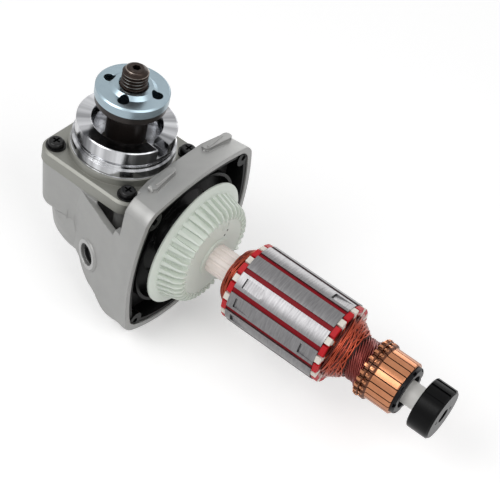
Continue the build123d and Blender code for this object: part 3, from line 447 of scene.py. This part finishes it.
        # A second finish with a shade gets painted reflection streaks in its colour.
        if second.shade is not None:
            tree.links.new(self.painted_reflection_streaks(second), mix.inputs[7])
        tree.links.new(mix.outputs[2], shader.inputs["Base Color"])
        for socket, low, high in (("Metallic", first.metallic, second.metallic),
                                  ("Roughness", first.roughness, second.roughness)):
            level = add_node(tree, "ShaderNodeMapRange", None, {"To Min": low, "To Max": high},
                             {"Value": mask})
            tree.links.new(level.outputs["Result"], shader.inputs[socket])

    def mottle(self) -> None:
        """Mix the finish's two colours in soft uneven patches."""
        tree, finish = self.tree, self.finish
        # Stacked sheets differ from one another along X far more than round the core.
        stretch = (1.0, 0.12, 0.12) if finish.pattern is Pattern.LAMINATED else (1.0, 1.0, 1.0)
        laid = add_node(tree, "ShaderNodeMapping", None, {"Scale": stretch}, {"Vector": self.place})
        patches = add_node(tree, "ShaderNodeTexNoise", {"noise_dimensions": "3D"},
                           {"Scale": 1.0 / (finish.mottle_mm * MM), "Detail": 4.0,
                            "Roughness": 0.6},
                           {"Vector": laid.outputs["Vector"]})
        mix = add_node(tree, "ShaderNodeMix", {"data_type": "RGBA"},
                       {6: linear_colour(finish.colour), 7: linear_colour(finish.shade)},
                       {0: patches.outputs["Fac"]})
        tree.links.new(mix.outputs[2], self.shader.inputs["Base Color"])

    def relief(self) -> None:
        """Add the fine relief that the process leaves, and soften the edges."""
        tree, finish = self.tree, self.finish
        kind, settings, values = "ShaderNodeTexNoise", {"noise_dimensions": "3D"}, {"Detail": 3.0}
        values["Scale"] = 1.0 / (finish.grain_mm * MM)
        if finish.pattern is Pattern.LAMINATED:
            # One sheet a band: this texture repeats 6.283 times in a unit of its scale.
            kind, settings = "ShaderNodeTexWave", {"wave_type": "BANDS", "bands_direction": "X"}
            values = {"Detail": 1.0, "Distortion": 0.4, "Scale": values["Scale"] / 6.283}
        texture = add_node(tree, kind, settings, values, {"Vector": self.place})
        bump = add_node(tree, "ShaderNodeBump", None,
                        {"Strength": finish.relief, "Distance": 0.2 * finish.grain_mm * MM},
                        {"Height": texture.outputs["Fac"]})
        if finish.edge_mm:
            edge = add_node(tree, "ShaderNodeBevel", {"samples": 4},
                            {"Radius": finish.edge_mm * MM})
            tree.links.new(edge.outputs["Normal"], bump.inputs["Normal"])
        tree.links.new(bump.outputs["Normal"], self.shader.inputs["Normal"])


class MaterialShelf:
    """Makes each finish's material once and hands it out again."""

    def __init__(self) -> None:
        """Start with an empty shelf."""
        self.made: dict[str, Material] = {}

    def get(self, finish: Finish) -> Material:
        """Return the material of a finish, made on first use.

        Args:
            finish: The finish wanted.

        Returns:
            Its Blender material.
        """
        if finish.title not in self.made:
            self.made[finish.title] = FinishNodes(finish).material
        return self.made[finish.title]


@dataclass
class Studio:
    """Pale floor, soft light and the photograph's camera.

    Attributes:
        azimuth: Camera direction round the part in degrees, from minus Y towards plus X.
        elevation: Camera height angle in degrees.
        roll: Turn of the camera about its own axis in degrees.
        camera_place: Camera position in millimetres.
        lens: Focal length in millimetres on a 36 mm sensor.
        floor_z: Height of the floor in millimetres.
        floor_glow: What the floor adds where it is seen, so that it reads white.
        sky_light: Strength of the world as a light.
        lamps: Name, place and size in metres, and watts of each lamp.
    """

    azimuth: float = 26.38
    elevation: float = 43.68
    roll: float = 15.47
    camera_place: tuple[float, float, float] = (308.6, -537.4, 595.96)
    lens: float = 100.87
    floor_z: float = -60.9
    floor_glow: float = 0.30
    sky_light: float = 0.38
    lamps: tuple[tuple[str, tuple[float, float, float], float, float], ...] = (
        ("key_softbox", (-0.42, -0.88, 0.98), 0.8, 8.0),
        ("fill_softbox", (0.95, -0.20, 0.75), 1.0, 5.5),
        ("back_softbox", (-0.42, 1.30, 0.28), 0.7, 3.5),
    )

    def build(self) -> None:
        """Make the floor, the world, the lamps and the camera."""
        self.lay_floor()
        self.light_world()
        self.hang_lamps()
        self.set_camera()

    def lay_floor(self) -> None:
        """Lay a wide pale floor under the part."""
        bpy.ops.mesh.primitive_plane_add(size=8.0, location=(0.0, 0.0, self.floor_z * MM))
        floor = bpy.context.object
        floor.name = "studio_floor"
        material = bpy.data.materials.new("pale_studio_floor")
        material.use_nodes = True
        tree = material.node_tree
        shader = tree.nodes["Principled BSDF"]
        shader.inputs["Base Color"].default_value = linear_colour("#f4f4f4")
        shader.inputs["Roughness"].default_value = 0.9
        shader.inputs["Specular IOR Level"].default_value = 0.0
        glow = add_node(tree, "ShaderNodeEmission", None,
                        {"Color": (1.0, 1.0, 1.0, 1.0), "Strength": self.floor_glow})
        total = add_node(tree, "ShaderNodeAddShader", None, None,
                         {0: shader.outputs["BSDF"], 1: glow.outputs["Emission"]})
        pick = add_node(tree, "ShaderNodeMixShader", None, None,
                        {0: self.background_rays(tree), 1: shader.outputs["BSDF"],
                         2: total.outputs["Shader"]})
        tree.links.new(pick.outputs["Shader"], tree.nodes["Material Output"].inputs["Surface"])
        floor.data.materials.append(material)

    @staticmethod
    def background_rays(tree: Tree) -> Any:
        """One where a camera, glossy or transmission ray looks, nought for plain light.

        Args:
            tree: Node tree to add to.

        Returns:
            Output socket with the mask.
        """
        rays = add_node(tree, "ShaderNodeLightPath").outputs
        mask = rays["Is Camera Ray"]
        for kind in ("Is Glossy Ray", "Is Transmission Ray"):
            mask = add_node(tree, "ShaderNodeMath", {"operation": "MAXIMUM"}, None,
                            {0: mask, 1: rays[kind]}).outputs[0]
        return mask

    def light_world(self) -> None:
        """White where it is seen or mirrored, a softer grey as light."""
        world = bpy.data.worlds.new("studio_world")
        bpy.context.scene.world = world
        world.use_nodes = True
        tree = world.node_tree
        level = add_node(tree, "ShaderNodeMapRange", None,
                         {"To Min": self.sky_light, "To Max": 1.0},
                         {"Value": self.background_rays(tree)})
        back = tree.nodes["Background"]
        back.inputs["Color"].default_value = (1.0, 1.0, 1.0, 1.0)
        tree.links.new(level.outputs["Result"], back.inputs["Strength"])

    def hang_lamps(self) -> None:
        """Hang a large soft key, a fill and a weak back lamp, all aimed at the part."""
        for name, place, size, power in self.lamps:
            bpy.ops.object.light_add(type="AREA", location=place)
            lamp = bpy.context.object
            lamp.name = name
            lamp.data.size = size
            lamp.data.energy = power
            aim = Vector((0.02, 0.0, 0.0)) - Vector(place)
            lamp.rotation_euler = aim.to_track_quat("-Z", "Y").to_euler()

    def set_camera(self) -> None:
        """Put the camera where the photograph was taken from."""
        az, el, roll = (math.radians(a) for a in (self.azimuth, self.elevation, self.roll))
        back = Vector((math.sin(az) * math.cos(el), -math.cos(az) * math.cos(el), math.sin(el)))
        level = Vector((math.cos(az), math.sin(az), 0.0))
        upright = back.cross(level)
        right = math.cos(roll) * level + math.sin(roll) * upright
        up = math.cos(roll) * upright - math.sin(roll) * level
        turn = Matrix((right, up, back)).transposed()
        bpy.ops.object.camera_add()
        camera = bpy.context.object
        camera.name = "photo_camera"
        camera.data.lens = self.lens
        camera.data.sensor_width = 36.0
        camera.data.clip_start = 0.01
        camera.data.clip_end = 20.0
        camera.matrix_world = Matrix.Translation(Vector(self.camera_place) * MM) @ turn.to_4x4()
        bpy.context.scene.camera = camera


def dress_frame(frame: dict[str, Any], shelf: MaterialShelf) -> None:
    """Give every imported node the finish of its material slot.

    Args:
        shelf: Where the materials come from.
    """
    slots = {part["node"]: part["material_slot"] for part in frame["record"]["subparts"]}
    for name, node in frame["nodes"].items():
        node.data.materials.clear()
        node.data.materials.append(shelf.get(NODE_FINISH.get(name, SLOT_FINISH[slots[name]])))


def pick_out(*pieces: Piece) -> None:
    """Select only these pieces and make the first one active."""
    bpy.ops.object.select_all(action="DESELECT")
    for piece in pieces:
        piece.select_set(True)
    bpy.context.view_layer.objects.active = pieces[0]


def settle(piece: Piece, name: str) -> Piece:
    """Name a piece and press its place and turn into its mesh.

    Args:
        piece: The finished object.
        name: Its new name.

    Returns:
        The same object, at the origin.
    """
    pick_out(piece)
    bpy.ops.object.transform_apply(location=True, rotation=True, scale=True)
    piece.name = name
    piece.data.name = name
    return piece


def join(parts: list[Piece]) -> Piece:
    """Join objects into the first one.

    Args:
        parts: Mesh objects.

    Returns:
        The joined object.
    """
    pick_out(*parts)
    bpy.ops.object.join()
    return parts[0]


def draw_wire(points: Iterable[tuple[float, float, float]], radius: float, smooth: int = 3,
              thin: float = 1.0) -> Piece:
    """Draw one round wire along a smooth line.

    Args:
        points: Control points in millimetres.
        radius: Wire radius in millimetres.
        smooth: Steps between two control points.
        thin: Radius at the far end, as a share of that at the near end.

    Returns:
        A closed mesh object.
    """
    bpy.ops.object.select_all(action="DESELECT")
    bpy.ops.curve.primitive_nurbs_path_add()
    wire = bpy.context.object
    curve = wire.data
    curve.splines.clear()
    line = curve.splines.new("NURBS")
    path = list(points)
    line.points.add(len(path) - 1)
    for i, (point, place) in enumerate(zip(line.points, path)):
        point.co = (place[0] * MM, place[1] * MM, place[2] * MM, 1.0)
        point.radius = 1.0 + (thin - 1.0) * i / (len(path) - 1)
    line.order_u = 4
    line.use_endpoint_u = True
    curve.resolution_u = smooth
    curve.bevel_depth = radius * MM
    curve.bevel_resolution = 1
    curve.use_fill_caps = True
    bpy.ops.object.convert(target="MESH")
    bpy.ops.object.shade_smooth()
    return bpy.context.object


def close_mesh(gap: float, angle: float) -> None:
    """Close the active mesh and smooth it where its faces meet at a shallow angle.

    Args:
        gap: Points nearer than this many metres become one.
        angle: Greatest angle that is shaded smooth, in degrees.
    """
    bpy.ops.object.mode_set(mode="EDIT")
    bpy.ops.mesh.select_all(action="SELECT")
    bpy.ops.mesh.remove_doubles(threshold=gap)
    bpy.ops.mesh.normals_make_consistent(inside=False)
    bpy.ops.object.mode_set(mode="OBJECT")
    bpy.ops.object.shade_smooth_by_angle(angle=math.radians(angle))


def turn_profile(profile: Outline, axis: str, steps: int = 64) -> Piece:
    """Turn an outline about an axis through the origin, as on a lathe.

    Args:
        profile: Points of (place along the axis, radius) in millimetres, from end to end.
        axis: "X" or "Z".
        steps: Facets round the axis.

    Returns:
        A mesh object with its doubles merged and its faces pointing outwards.
    """
    points = [Vector((along, out, 0.0) if axis == "X" else (out, 0.0, along)) * MM
              for along, out in profile]
    bpy.ops.object.select_all(action="DESELECT")
    bpy.ops.mesh.primitive_plane_add(size=2 * MM)
    shape = bpy.context.object
    bpy.ops.object.mode_set(mode="EDIT")
    bpy.ops.mesh.select_mode(type="VERT")
    bpy.ops.mesh.select_all(action="SELECT")
    bpy.ops.mesh.merge(type="CENTER")
    bpy.ops.transform.translate(value=points[0])
    for last, point in zip(points, points[1:]):
        bpy.ops.mesh.extrude_region_move(TRANSFORM_OT_translate={"value": point - last})
    bpy.ops.mesh.select_all(action="SELECT")
    bpy.ops.mesh.spin(steps=steps, angle=math.tau, center=(0.0, 0.0, 0.0),
                      axis=(1.0, 0.0, 0.0) if axis == "X" else (0.0, 0.0, 1.0))
    close_mesh(0.00001, 32.0)
    return shape


def repeat_round_x(part: Piece, count: int, sink: float = 0.0) -> Piece:
    """Copy a piece round the armature axis, each copy with its own mesh.

    Args:
        part: The first piece.
        count: How many there are in all.
        sink: Share by which each copy further from the first lies nearer the axis.

    Returns:
        The whole ring as one object.
    """
    ring = [part]
    for i in range(1, count):
        copy = part.copy()
        copy.data = part.data.copy()
        bpy.context.collection.objects.link(copy)
        copy.data.transform(Matrix.Rotation(math.tau * i / count, 4, "X"))
        near = 1.0 - sink * min(i, count - i)
        copy.data.transform(Matrix.Diagonal((1.0, near, near, 1.0)))
        ring.append(copy)
    return join(ring)


def helix_ridge(radius: float, root: float, pitch: float, turns: int, start: float,
                crest_share: float = 0.2, steps: int = 40) -> Piece:
    """Make a screw thread's ridge about Z.

    Args:
        radius: Crest radius in millimetres.
        root: Root radius in millimetres, smaller than the crest outside, larger inside.
        pitch: Rise per turn in millimetres.
        turns: Number of turns.
        start: Height of the first turn in millimetres.
        crest_share: Share of the pitch that the flat crest takes.
        steps: Facets per turn.

    Returns:
        A closed mesh object.
    """
    bpy.ops.object.select_all(action="DESELECT")
    bpy.ops.mesh.primitive_plane_add(size=1 * MM)
    ridge = bpy.context.object
    half_root = 0.47 * pitch
    half_crest = crest_share * pitch / 2.0
    corners = ((root, -half_root), (radius, -half_crest), (radius, half_crest), (root, half_root))
    for vertex, index in zip(ridge.data.vertices, (0, 1, 3, 2)):
        r, z = corners[index]
        vertex.co = (r * MM, 0.0, (start + z) * MM)
    screw = ridge.modifiers.new("thread", "SCREW")
    screw.axis = "Z"
    screw.steps = steps
    screw.render_steps = steps
    screw.screw_offset = pitch * MM
    screw.iterations = turns
    screw.use_merge_vertices = False
    bpy.ops.object.modifier_apply(modifier=screw.name)
    close_mesh(0.000001, 25.0)
    for face in ridge.data.polygons:
        upright = abs(face.normal.z) < 0.6
        at_crest = abs(face.center.xy.length / MM - radius) < 0.2
        face.material_index = int(upright and at_crest)
    return ridge


def on_round(x: float, radius: float, angle: float) -> tuple[float, float, float]:
    """Place on a circle round the armature axis, angle in degrees from plus Y."""
    turn = math.radians(angle)
    return x, radius * math.cos(turn), radius * math.sin(turn)


def paint(piece: Piece, *materials: Material) -> Piece:
    """Give a piece its materials, in the order of its faces' material indices.

    Args:
        piece: The piece to paint.
        materials: Its materials.

    Returns:
        The same piece.
    """
    for material in materials:
        piece.data.materials.append(material)
    return piece


def blend_profile(profile: Outline, x: float) -> float:
    """Radius of an outline at a place along it, straight between its points.

    Args:
        profile: Points of (x, radius) in rising order of x.
        x: Place along the axis.

    Returns:
        Radius in the same unit.
    """
    if x <= profile[0][0]:
        return profile[0][1]
    for (x0, r0), (x1, r1) in zip(profile, profile[1:]):
        if x <= x1:
            return r0 + (r1 - r0) * (x - x0) / (x1 - x0)
    return profile[-1][1]


def place_piece(piece: Piece, name: str, body: str,
                stands_for: tuple[str, ...] = ()) -> None:
    """Settle a new piece and tell what it rides on and which nodes it stands for.

    Args:
        piece: The finished piece.
        name: Its name.
        body: Moving body that carries it.
        stands_for: CAD nodes that it replaces.
    """
    settle(piece, name)
    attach(piece, body)
    if stands_for:
        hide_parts(*stands_for)
    LOG.info("%s: %d faces", piece.name, len(piece.data.polygons))


@dataclass
class SubAssembly:
    """What every sub-assembly has.

    Attributes:
        shelf: Where the materials come from.
    """

    shelf: MaterialShelf


@dataclass
class SpindleEnd(SubAssembly):
    """Spindle with the screw thread that takes the lock nut.

    Attributes:
        crest: Crest radius of the thread in millimetres.
        root: Root radius of the thread.
        pitch: Rise per turn, eleven turns to the inch.
        tip: Height of the spindle's end.
        nut_top: Height at which the thread leaves the nut.
        socket: Radius over the corners of the key socket.
        end_radius: Radius where the chamfer meets the end.
    """

    crest: float = 7.94
    root: float = 6.5
    pitch: float = 25.4 / 11.0
    tip: float = 96.5
    nut_top: float = 84.6
    socket: float = 2.6
    end_radius: float = 4.9

    def build(self) -> None:
        """Turn the spindle, cut its key socket and lay the thread round it."""
        shank = turn_profile((
            (-27.0, 0.0), (-27.0, 4.4), (-26.4, 5.0), (-12.5, 5.0), (-12.5, 6.5), (17.0, 6.5),
            (17.0, 7.5), (33.0, 7.5), (33.0, 10.0), (68.5, 10.0), (68.5, 8.4),
            (self.nut_top - 1.0, 8.4), (self.nut_top - 1.0, self.root), (self.tip - 1.4, self.root),
            (self.tip - 0.5, self.end_radius + 0.5), (self.tip - 0.2, self.end_radius),
            (self.tip - 0.2, 4.6), (self.tip, 4.4), (self.tip, 0.0)), "Z")
        self.cut_socket(shank)
        ridge = helix_ridge(self.crest, self.root - 0.15, self.pitch, 6, self.nut_top - 2.0)
        self.taper_last_turn(ridge)
        # The crests are painted light: partly real rubbing by the nut, partly a painted highlight.
        dark, bright = self.shelf.get(SPINDLE_STEEL), self.shelf.get(THREAD_CREST)
        piece = join([paint(shank, dark, bright), paint(ridge, dark, bright)])
        piece.location = (SPINDLE_X, 0.0, 0.0)
        place_piece(piece, "spindle_threaded", "spindle", ("spindle",))

    def cut_socket(self, shank: Piece) -> None:
        """Cut the six-sided key socket into the end.

        Args:
            shank: The turned spindle.
        """
        bpy.ops.mesh.primitive_cylinder_add(vertices=6, radius=self.socket * MM, depth=16 * MM,
                                            location=(0.0, 0.0, self.tip * MM))
        key = bpy.context.object
        cut = shank.modifiers.new("socket", "BOOLEAN")
        cut.operation = "DIFFERENCE"
        cut.solver = "EXACT"
        cut.object = key
        pick_out(shank)
        bpy.ops.object.modifier_apply(modifier=cut.name)
        bpy.data.objects.remove(key)

    def taper_last_turn(self, ridge: Piece) -> None:
        """Run the thread out under the chamfer of the spindle's end.

        Args:
            ridge: The thread's ridge.
        """
        for vertex in ridge.data.vertices:
            vertex.co.z = min(vertex.co.z, (self.tip - 0.5) * MM)
            limit = (self.end_radius + 1.3 * (self.tip - vertex.co.z / MM)) * MM
            reach = math.hypot(vertex.co.x, vertex.co.y)
            if reach > limit:
                vertex.co.x *= limit / reach
                vertex.co.y *= limit / reach


@dataclass
class HandleThreads(SubAssembly):
    """Machined faces and screw threads of the two side handle bosses.

    Attributes:
        face: Middle of the near boss's face in millimetres, from the part's origin.
        turn: How far the boss turns back from minus Y, in degrees.
        depth: Depth of the first crest below the face.
        bore: Radius of the hole.
        sink: Radius of the sunk edge.
        sink_depth: Depth of the sunk edge.
        floor: Depth of the hole.
        pitch: Rise per turn, drawn coarser than the real 1.75 so that the turns show.
    """

    face: tuple[float, float, float] = (-43.8, 42.8, -17.4)
    turn: float = 21.7
    depth: float = 3.45
    bore: float = 6.0
    sink: float = 7.2
    sink_depth: float = 2.5
    floor: float = 12.0
    pitch: float = 2.0

    def build(self) -> None:
        """Give each boss its machined face, its bore lined black as painted shade, and its bright
        crests.
        """
        for side, name in ((-1.0, "left"), (1.0, "right")):
            ridge = helix_ridge(self.bore - 1.0, self.bore - 0.02, self.pitch, 3, self.depth, 0.3)
            paint(ridge, self.shelf.get(TAPPED_ROOT), self.shelf.get(TAPPED_CREST))
            # A thin near-black sleeve over the bore's wall and floor: painted shade of the deep
            # hole.
            shade_lining = turn_profile((
                (self.floor - 0.6, 0.0), (self.floor - 0.6, self.bore - 0.1),
                (self.sink_depth - 0.1, self.bore - 0.1),
                (self.sink_depth - 0.1, self.sink - 0.05),
                (self.sink_depth - 0.02, self.sink - 0.05),
                (self.sink_depth - 0.02, self.bore - 0.03),
                (self.floor - 0.5, self.bore - 0.03), (self.floor - 0.5, 0.0)), "Z", 48)
            paint(shade_lining, self.shelf.get(TAPPED_ROOT))
            land = turn_profile((
                (0.05, self.sink + 0.1), (-0.25, self.sink + 0.4), (-0.3, self.sink + 0.9),
                (-0.3, self.sink + 2.2), (-0.1, self.sink + 2.6), (0.05, self.sink + 2.6),
                (0.05, self.sink + 0.1)), "Z", 64)
            paint(land, self.shelf.get(MACHINED_FACE))
            self.seat(join([ridge, shade_lining]), side, name + "_handle_thread")
            self.seat(land, side, name + "_handle_face")

    def seat(self, piece: Piece, side: float, name: str) -> None:
        """Put a piece, made with its depth along Z, into its boss.

        Args:
            piece: The piece.
            side: Minus one for the near side, one for the far side.
            name: Its name.
        """
        tilt = math.radians(self.turn)
        out = Vector((-math.sin(tilt), side * math.cos(tilt), 0.0))
        x, y, z = self.face
        piece.rotation_euler = (-out).to_track_quat("Z", "Y").to_euler()
        piece.location = Vector((x, side * y, z)) * MM
        place_piece(piece, name, "gear_head")


@dataclass
class Windings(SubAssembly):
    """End turns of the coils at both ends, and the leads to the commutator.

    Attributes:
        slots: Number of slots in the core.
        first_turn: Angle of the slot where the first coil begins, in degrees from plus Y.
        wire: Wire radius in millimetres, drawn a little thick so that single wires show.
        front: Outline of the front end turns, x and radius.
        rear: Outline of the rear end turns, x and radius.
        span: Angle between the two slots of a coil.
    """

    slots: int = 12
    first_turn: float = 62.5
    wire: float = 0.5
    front: Outline = (
        (35.1, 11.1), (35.4, 13.6), (37.4, 17.0), (40.4, 19.8), (43.4, 21.4), (45.9, 21.6))
    rear: Outline = (
        (116.6, 22.0), (120.1, 21.6), (124.6, 18.8), (128.6, 15.8), (132.0, 13.4), (136.0, 13.4))
    span: float = 150.0

    def build(self) -> None:
        """Make both ends and the leads."""
        core = turn_profile(((46.1, 6.1), (46.1, 17.5), (41.0, 16.0), (38.0, 13.5), (36.4, 11.0),
                             (36.2, 9.9), (37.4, 9.7), (37.4, 6.1)), "X")
        self.end_turns("front_end_turns", "front_winding", core, (46.4, -1.0),
                       (4.0, 5.6, 6.8, 8.2, 9.4, 10.4), self.front)
        core = turn_profile(((116.4, 6.1), (116.4, 18.0), (121.0, 17.5), (126.0, 14.0),
                             (131.0, 11.8), (138.0, 11.8), (138.0, 6.1)), "X")
        self.end_turns("rear_end_turns", "rear_winding", core, (116.1, 1.0),
                       (4.6, 6.6, 7.6, 9.2, 10.6, 11.6, 13.4), self.rear)
        self.leads()
        self.cord()

    def end_turns(self, name: str, node: str, core: Piece, face: tuple[float, float],
                  reach: tuple[float, ...], outline: Outline) -> None:
        """Lay one coil's wires from slot to slot and copy them round the core.

        Args:
            name: Name of the piece.
            node: CAD node it stands for.
            core: Turned body that closes the depth behind the wires.
            face: Place of the end plate and the direction away from it.
            reach: How far each row of wires stands out.
            outline: Outline that the outermost wires touch.
        """
        uneven = random.Random(len(name) + len(reach))
        strands = []
        for row, out in enumerate(reach):
            for layer in range(2):
                shift = uneven.uniform(-2.4, 2.4)
                stand = out + 0.5 * layer + uneven.uniform(-0.4, 0.4)
                sunk = uneven.choice((0.0, 0.1, 0.3))
                path = []
                for k in range(11):
                    t = k / 10.0
                    x = face[0] + face[1] * (stand * math.sin(math.pi * t) ** 0.7 - 2.0)
                    depth = self.wire + 0.7 * layer + 0.3 * row * (1.0 - math.sin(math.pi * t))
                    depth += sunk + uneven.uniform(0.0, 0.25)
                    turn = self.first_turn + self.span * t + shift
                    path.append(on_round(x, blend_profile(outline, x) - depth, turn))
                # Sunk strands are painted dark as painted shade; the others vary in tone at random.
                finish = DARK_WIRE if sunk > 0.2 else uneven.choice(
                    (ENAMELLED_WIRE, ENAMELLED_WIRE, BRIGHT_WIRE))
                strands.append(paint(draw_wire(path, self.wire), self.shelf.get(finish)))
        bundle = repeat_round_x(join(strands), self.slots, 0.026)
        # The turned body behind the wires is painted near black: varnish and painted shade in the
        # depth.
        piece = join([paint(core, self.shelf.get(WIRE_DEPTH)), bundle])
        place_piece(piece, name, "armature", (node,))

    def leads(self) -> None:
        """Wires that wind round the neck and up into the risers."""
        uneven = random.Random(5)
        strands = []
        for lane in range(3):
            path = []
            for k in range(9):
                t = k / 8.0
                x = 128.0 + 0.7 * lane + (10.3 - 0.7 * lane) * t
                r = 13.0 + 0.4 * lane + uneven.uniform(-0.3, 0.4) + 3.9 * max(0.0, t - 0.6) / 0.4
                turn = 7.5 + 2.5 * lane - (70.0 + 12.0 * lane) * (1.0 - t)
                path.append(on_round(x, min(r, 17.2), turn))
            strands.append(draw_wire(path, self.wire))
        piece = paint(repeat_round_x(join(strands), 24), self.shelf.get(LEAD_WIRE))
        place_piece(piece, "commutator_leads", "armature")

    def cord(self) -> None:
        """Lashing cord round the neck, two turns and a little more."""
        path = [on_round(131.8 + 0.12 * k, 13.6 + 0.2 * (k % 3), 30.0 * k) for k in range(27)]
        piece = paint(draw_wire(path, 0.42), self.shelf.get(LASHING_CORD))
        place_piece(piece, "neck_lashing", "armature", ("winding_cord",))


@dataclass
class RiserHooks(SubAssembly):
    """Copper tangs that fold over the wires on every commutator bar.

    Attributes:
        bars: Number of commutator bars.
        outline: Saddle shape of a tang, x and radius of its top.
        width: Width of a tang.
        foot: Radius where a tang stands on its bar.
    """

    bars: int = 24
    outline: Outline = (
        (138.0, 18.2), (138.5, 18.9), (140.3, 18.95), (140.9, 18.1), (141.9, 17.9), (142.6, 18.6),
        (144.4, 18.6), (145.0, 18.0))
    width: float = 1.75
    foot: float = 17.2

    def build(self) -> None:
        """Shape one tang from a block and set one on every bar."""
        x, top = self.outline[0]
        bpy.ops.object.select_all(action="DESELECT")
        bpy.ops.mesh.primitive_cube_add(size=1.0)
        hook = bpy.context.object
        hook.scale = (0.2 * MM, self.width * MM, (top - self.foot) * MM)
        hook.location = ((x - 0.1) * MM, 0.0, (top + self.foot) / 2.0 * MM)
        bpy.ops.object.transform_apply(location=True, rotation=True, scale=True)
        for next_x, next_top in self.outline[1:]:
            for face in hook.data.polygons:
                face.select = face.normal.x > 0.9
            bpy.ops.object.mode_set(mode="EDIT")
            bpy.ops.mesh.select_mode(type="FACE")
            bpy.ops.mesh.extrude_region_move(
                TRANSFORM_OT_translate={"value": ((next_x - x) * MM, 0.0, 0.0)})
            bpy.ops.object.mode_set(mode="OBJECT")
            for vertex in hook.data.vertices:
                if vertex.select and vertex.co.z > (self.foot + 0.1) * MM:
                    vertex.co.z = next_top * MM
            x = next_x
        bpy.ops.object.mode_set(mode="EDIT")
        bpy.ops.mesh.select_all(action="SELECT")
        bpy.ops.mesh.bevel(offset=0.16 * MM, segments=2, affect="EDGES")
        bpy.ops.mesh.normals_make_consistent(inside=False)
        bpy.ops.object.mode_set(mode="OBJECT")
        bpy.ops.object.shade_smooth_by_angle(angle=math.radians(40.0))
        piece = paint(repeat_round_x(hook, self.bars), self.shelf.get(TURNED_COPPER))
        place_piece(piece, "riser_hooks", "armature")


@dataclass
class CastRibs(SubAssembly):
    """Small ribs and knobs cast on the top of the housing's skirt.

    Attributes:
        housing: The housing that carries them.
        ribs: Start and end of each rib in millimetres, its radius and its far end's share of that.
    """

    housing: Piece
    ribs: tuple[tuple[tuple[float, float], tuple[float, float], float, float], ...] = (
        ((-13.5, -28.0), (-13.6, -12.0), 1.15, 0.75),
        ((-9.9, -30.5), (-11.5, -11.5), 0.6, 0.8),
        ((-15.6, -31.6), (-12.2, -31.9), 1.5, 0.7),
        ((-14.5, 22.5), (-15.7, 37.6), 1.1, 0.8),
        ((-12.2, 20.2), (-10.5, 33.4), 0.6, 0.8),
        ((-15.8, 19.6), (-14.4, 20.2), 1.2, 0.8),
    )

    def build(self) -> None:
        """Lay the ribs along the skirt's own surface."""
        rods = []
        for start, end, radius, thin in self.ribs:
            path = []
            for k in range(5):
                t = k / 4.0
                x = start[0] + (end[0] - start[0]) * t
                y = start[1] + (end[1] - start[1]) * t
                hit, spot, _, _ = self.housing.ray_cast(Vector((x, y, RAY_START)) * MM,
                                                        Vector((0.0, 0.0, -1.0)))
                height = spot.z / MM if hit else 52.0
                path.append((x, y, height - 0.25 * radius))
            rods.append(draw_wire(path, radius, 3, thin))
        piece = paint(join(rods), self.shelf.get(CAST_ALUMINIUM))
        place_piece(piece, "skirt_cast_ribs", "gear_head")


@dataclass
class FanMarks(SubAssembly):
    """Balance scoop on the fan's front plate, and two black dots as painted shade of drilled holes.

    Attributes:
        fan: The fan that carries them.
        scoop: Place of the scoop across the plate, y and z.
        dots: Places of the dots, y and z.
    """

    fan: Piece
    scoop: tuple[float, float] = (6.2, 21.8)
    dots: Outline = ((9.25, 16.6), (7.1, 13.8))

    def build(self) -> None:
        """Turn the scoop's lip and the two black dots of painted shade, and set them on the plate.
        """
        front = self.face_at(*self.scoop)
        lip = turn_profile(((front - 0.1, 2.4), (front + 0.35, 2.7), (front + 0.5, 3.1),
                            (front + 0.35, 3.5), (front - 0.1, 3.8), (front - 0.1, 2.4)), "X", 40)
        lip.location = Vector((0.0, self.scoop[0], self.scoop[1])) * MM
        paint(lip, self.shelf.get(NATURAL_POLYAMIDE))
        place_piece(lip, "fan_scoop_lip", "armature")
        spots = []
        # Each dot is a thin black disc: painted shade for a drilled hole.
        for y, z in self.dots:
            front = self.face_at(y, z)
            dot = turn_profile(((front - 0.3, 0.0), (front - 0.3, 0.7), (front + 0.04, 0.75),
                                (front + 0.08, 0.6), (front + 0.08, 0.0)), "X", 24)
            dot.location = Vector((0.0, y, z)) * MM
            spots.append(settle(dot, "fan_hole_shade_disc"))
        piece = paint(join(spots), self.shelf.get(BLACK_POLYAMIDE))
        place_piece(piece, "fan_hole_shade_dots", "armature")

    def face_at(self, y: float, z: float) -> float:
        """Find the fan's front face.

        Args:
            y: Place across in millimetres.
            z: Height in millimetres.

        Returns:
            Place of the face along X in millimetres.
        """
        hit, spot, _, _ = self.fan.ray_cast(Vector((RAY_START, y, z)) * MM,
                                            Vector((-1.0, 0.0, 0.0)))
        return spot.x / MM if hit else 20.4


def main() -> None:
    """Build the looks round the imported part."""
    logging.basicConfig(level=logging.INFO, format="%(message)s")
    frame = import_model()
    shelf = MaterialShelf()
    dress_frame(frame, shelf)
    SpindleEnd(shelf).build()
    HandleThreads(shelf).build()
    Windings(shelf).build()
    RiserHooks(shelf).build()
    CastRibs(shelf, frame["nodes"]["gear_housing"]).build()
    FanMarks(shelf, frame["nodes"]["fan"]).build()
    Studio().build()
    bpy.context.scene.view_settings.view_transform = "Standard"


if __name__ == "__main__":
    main()
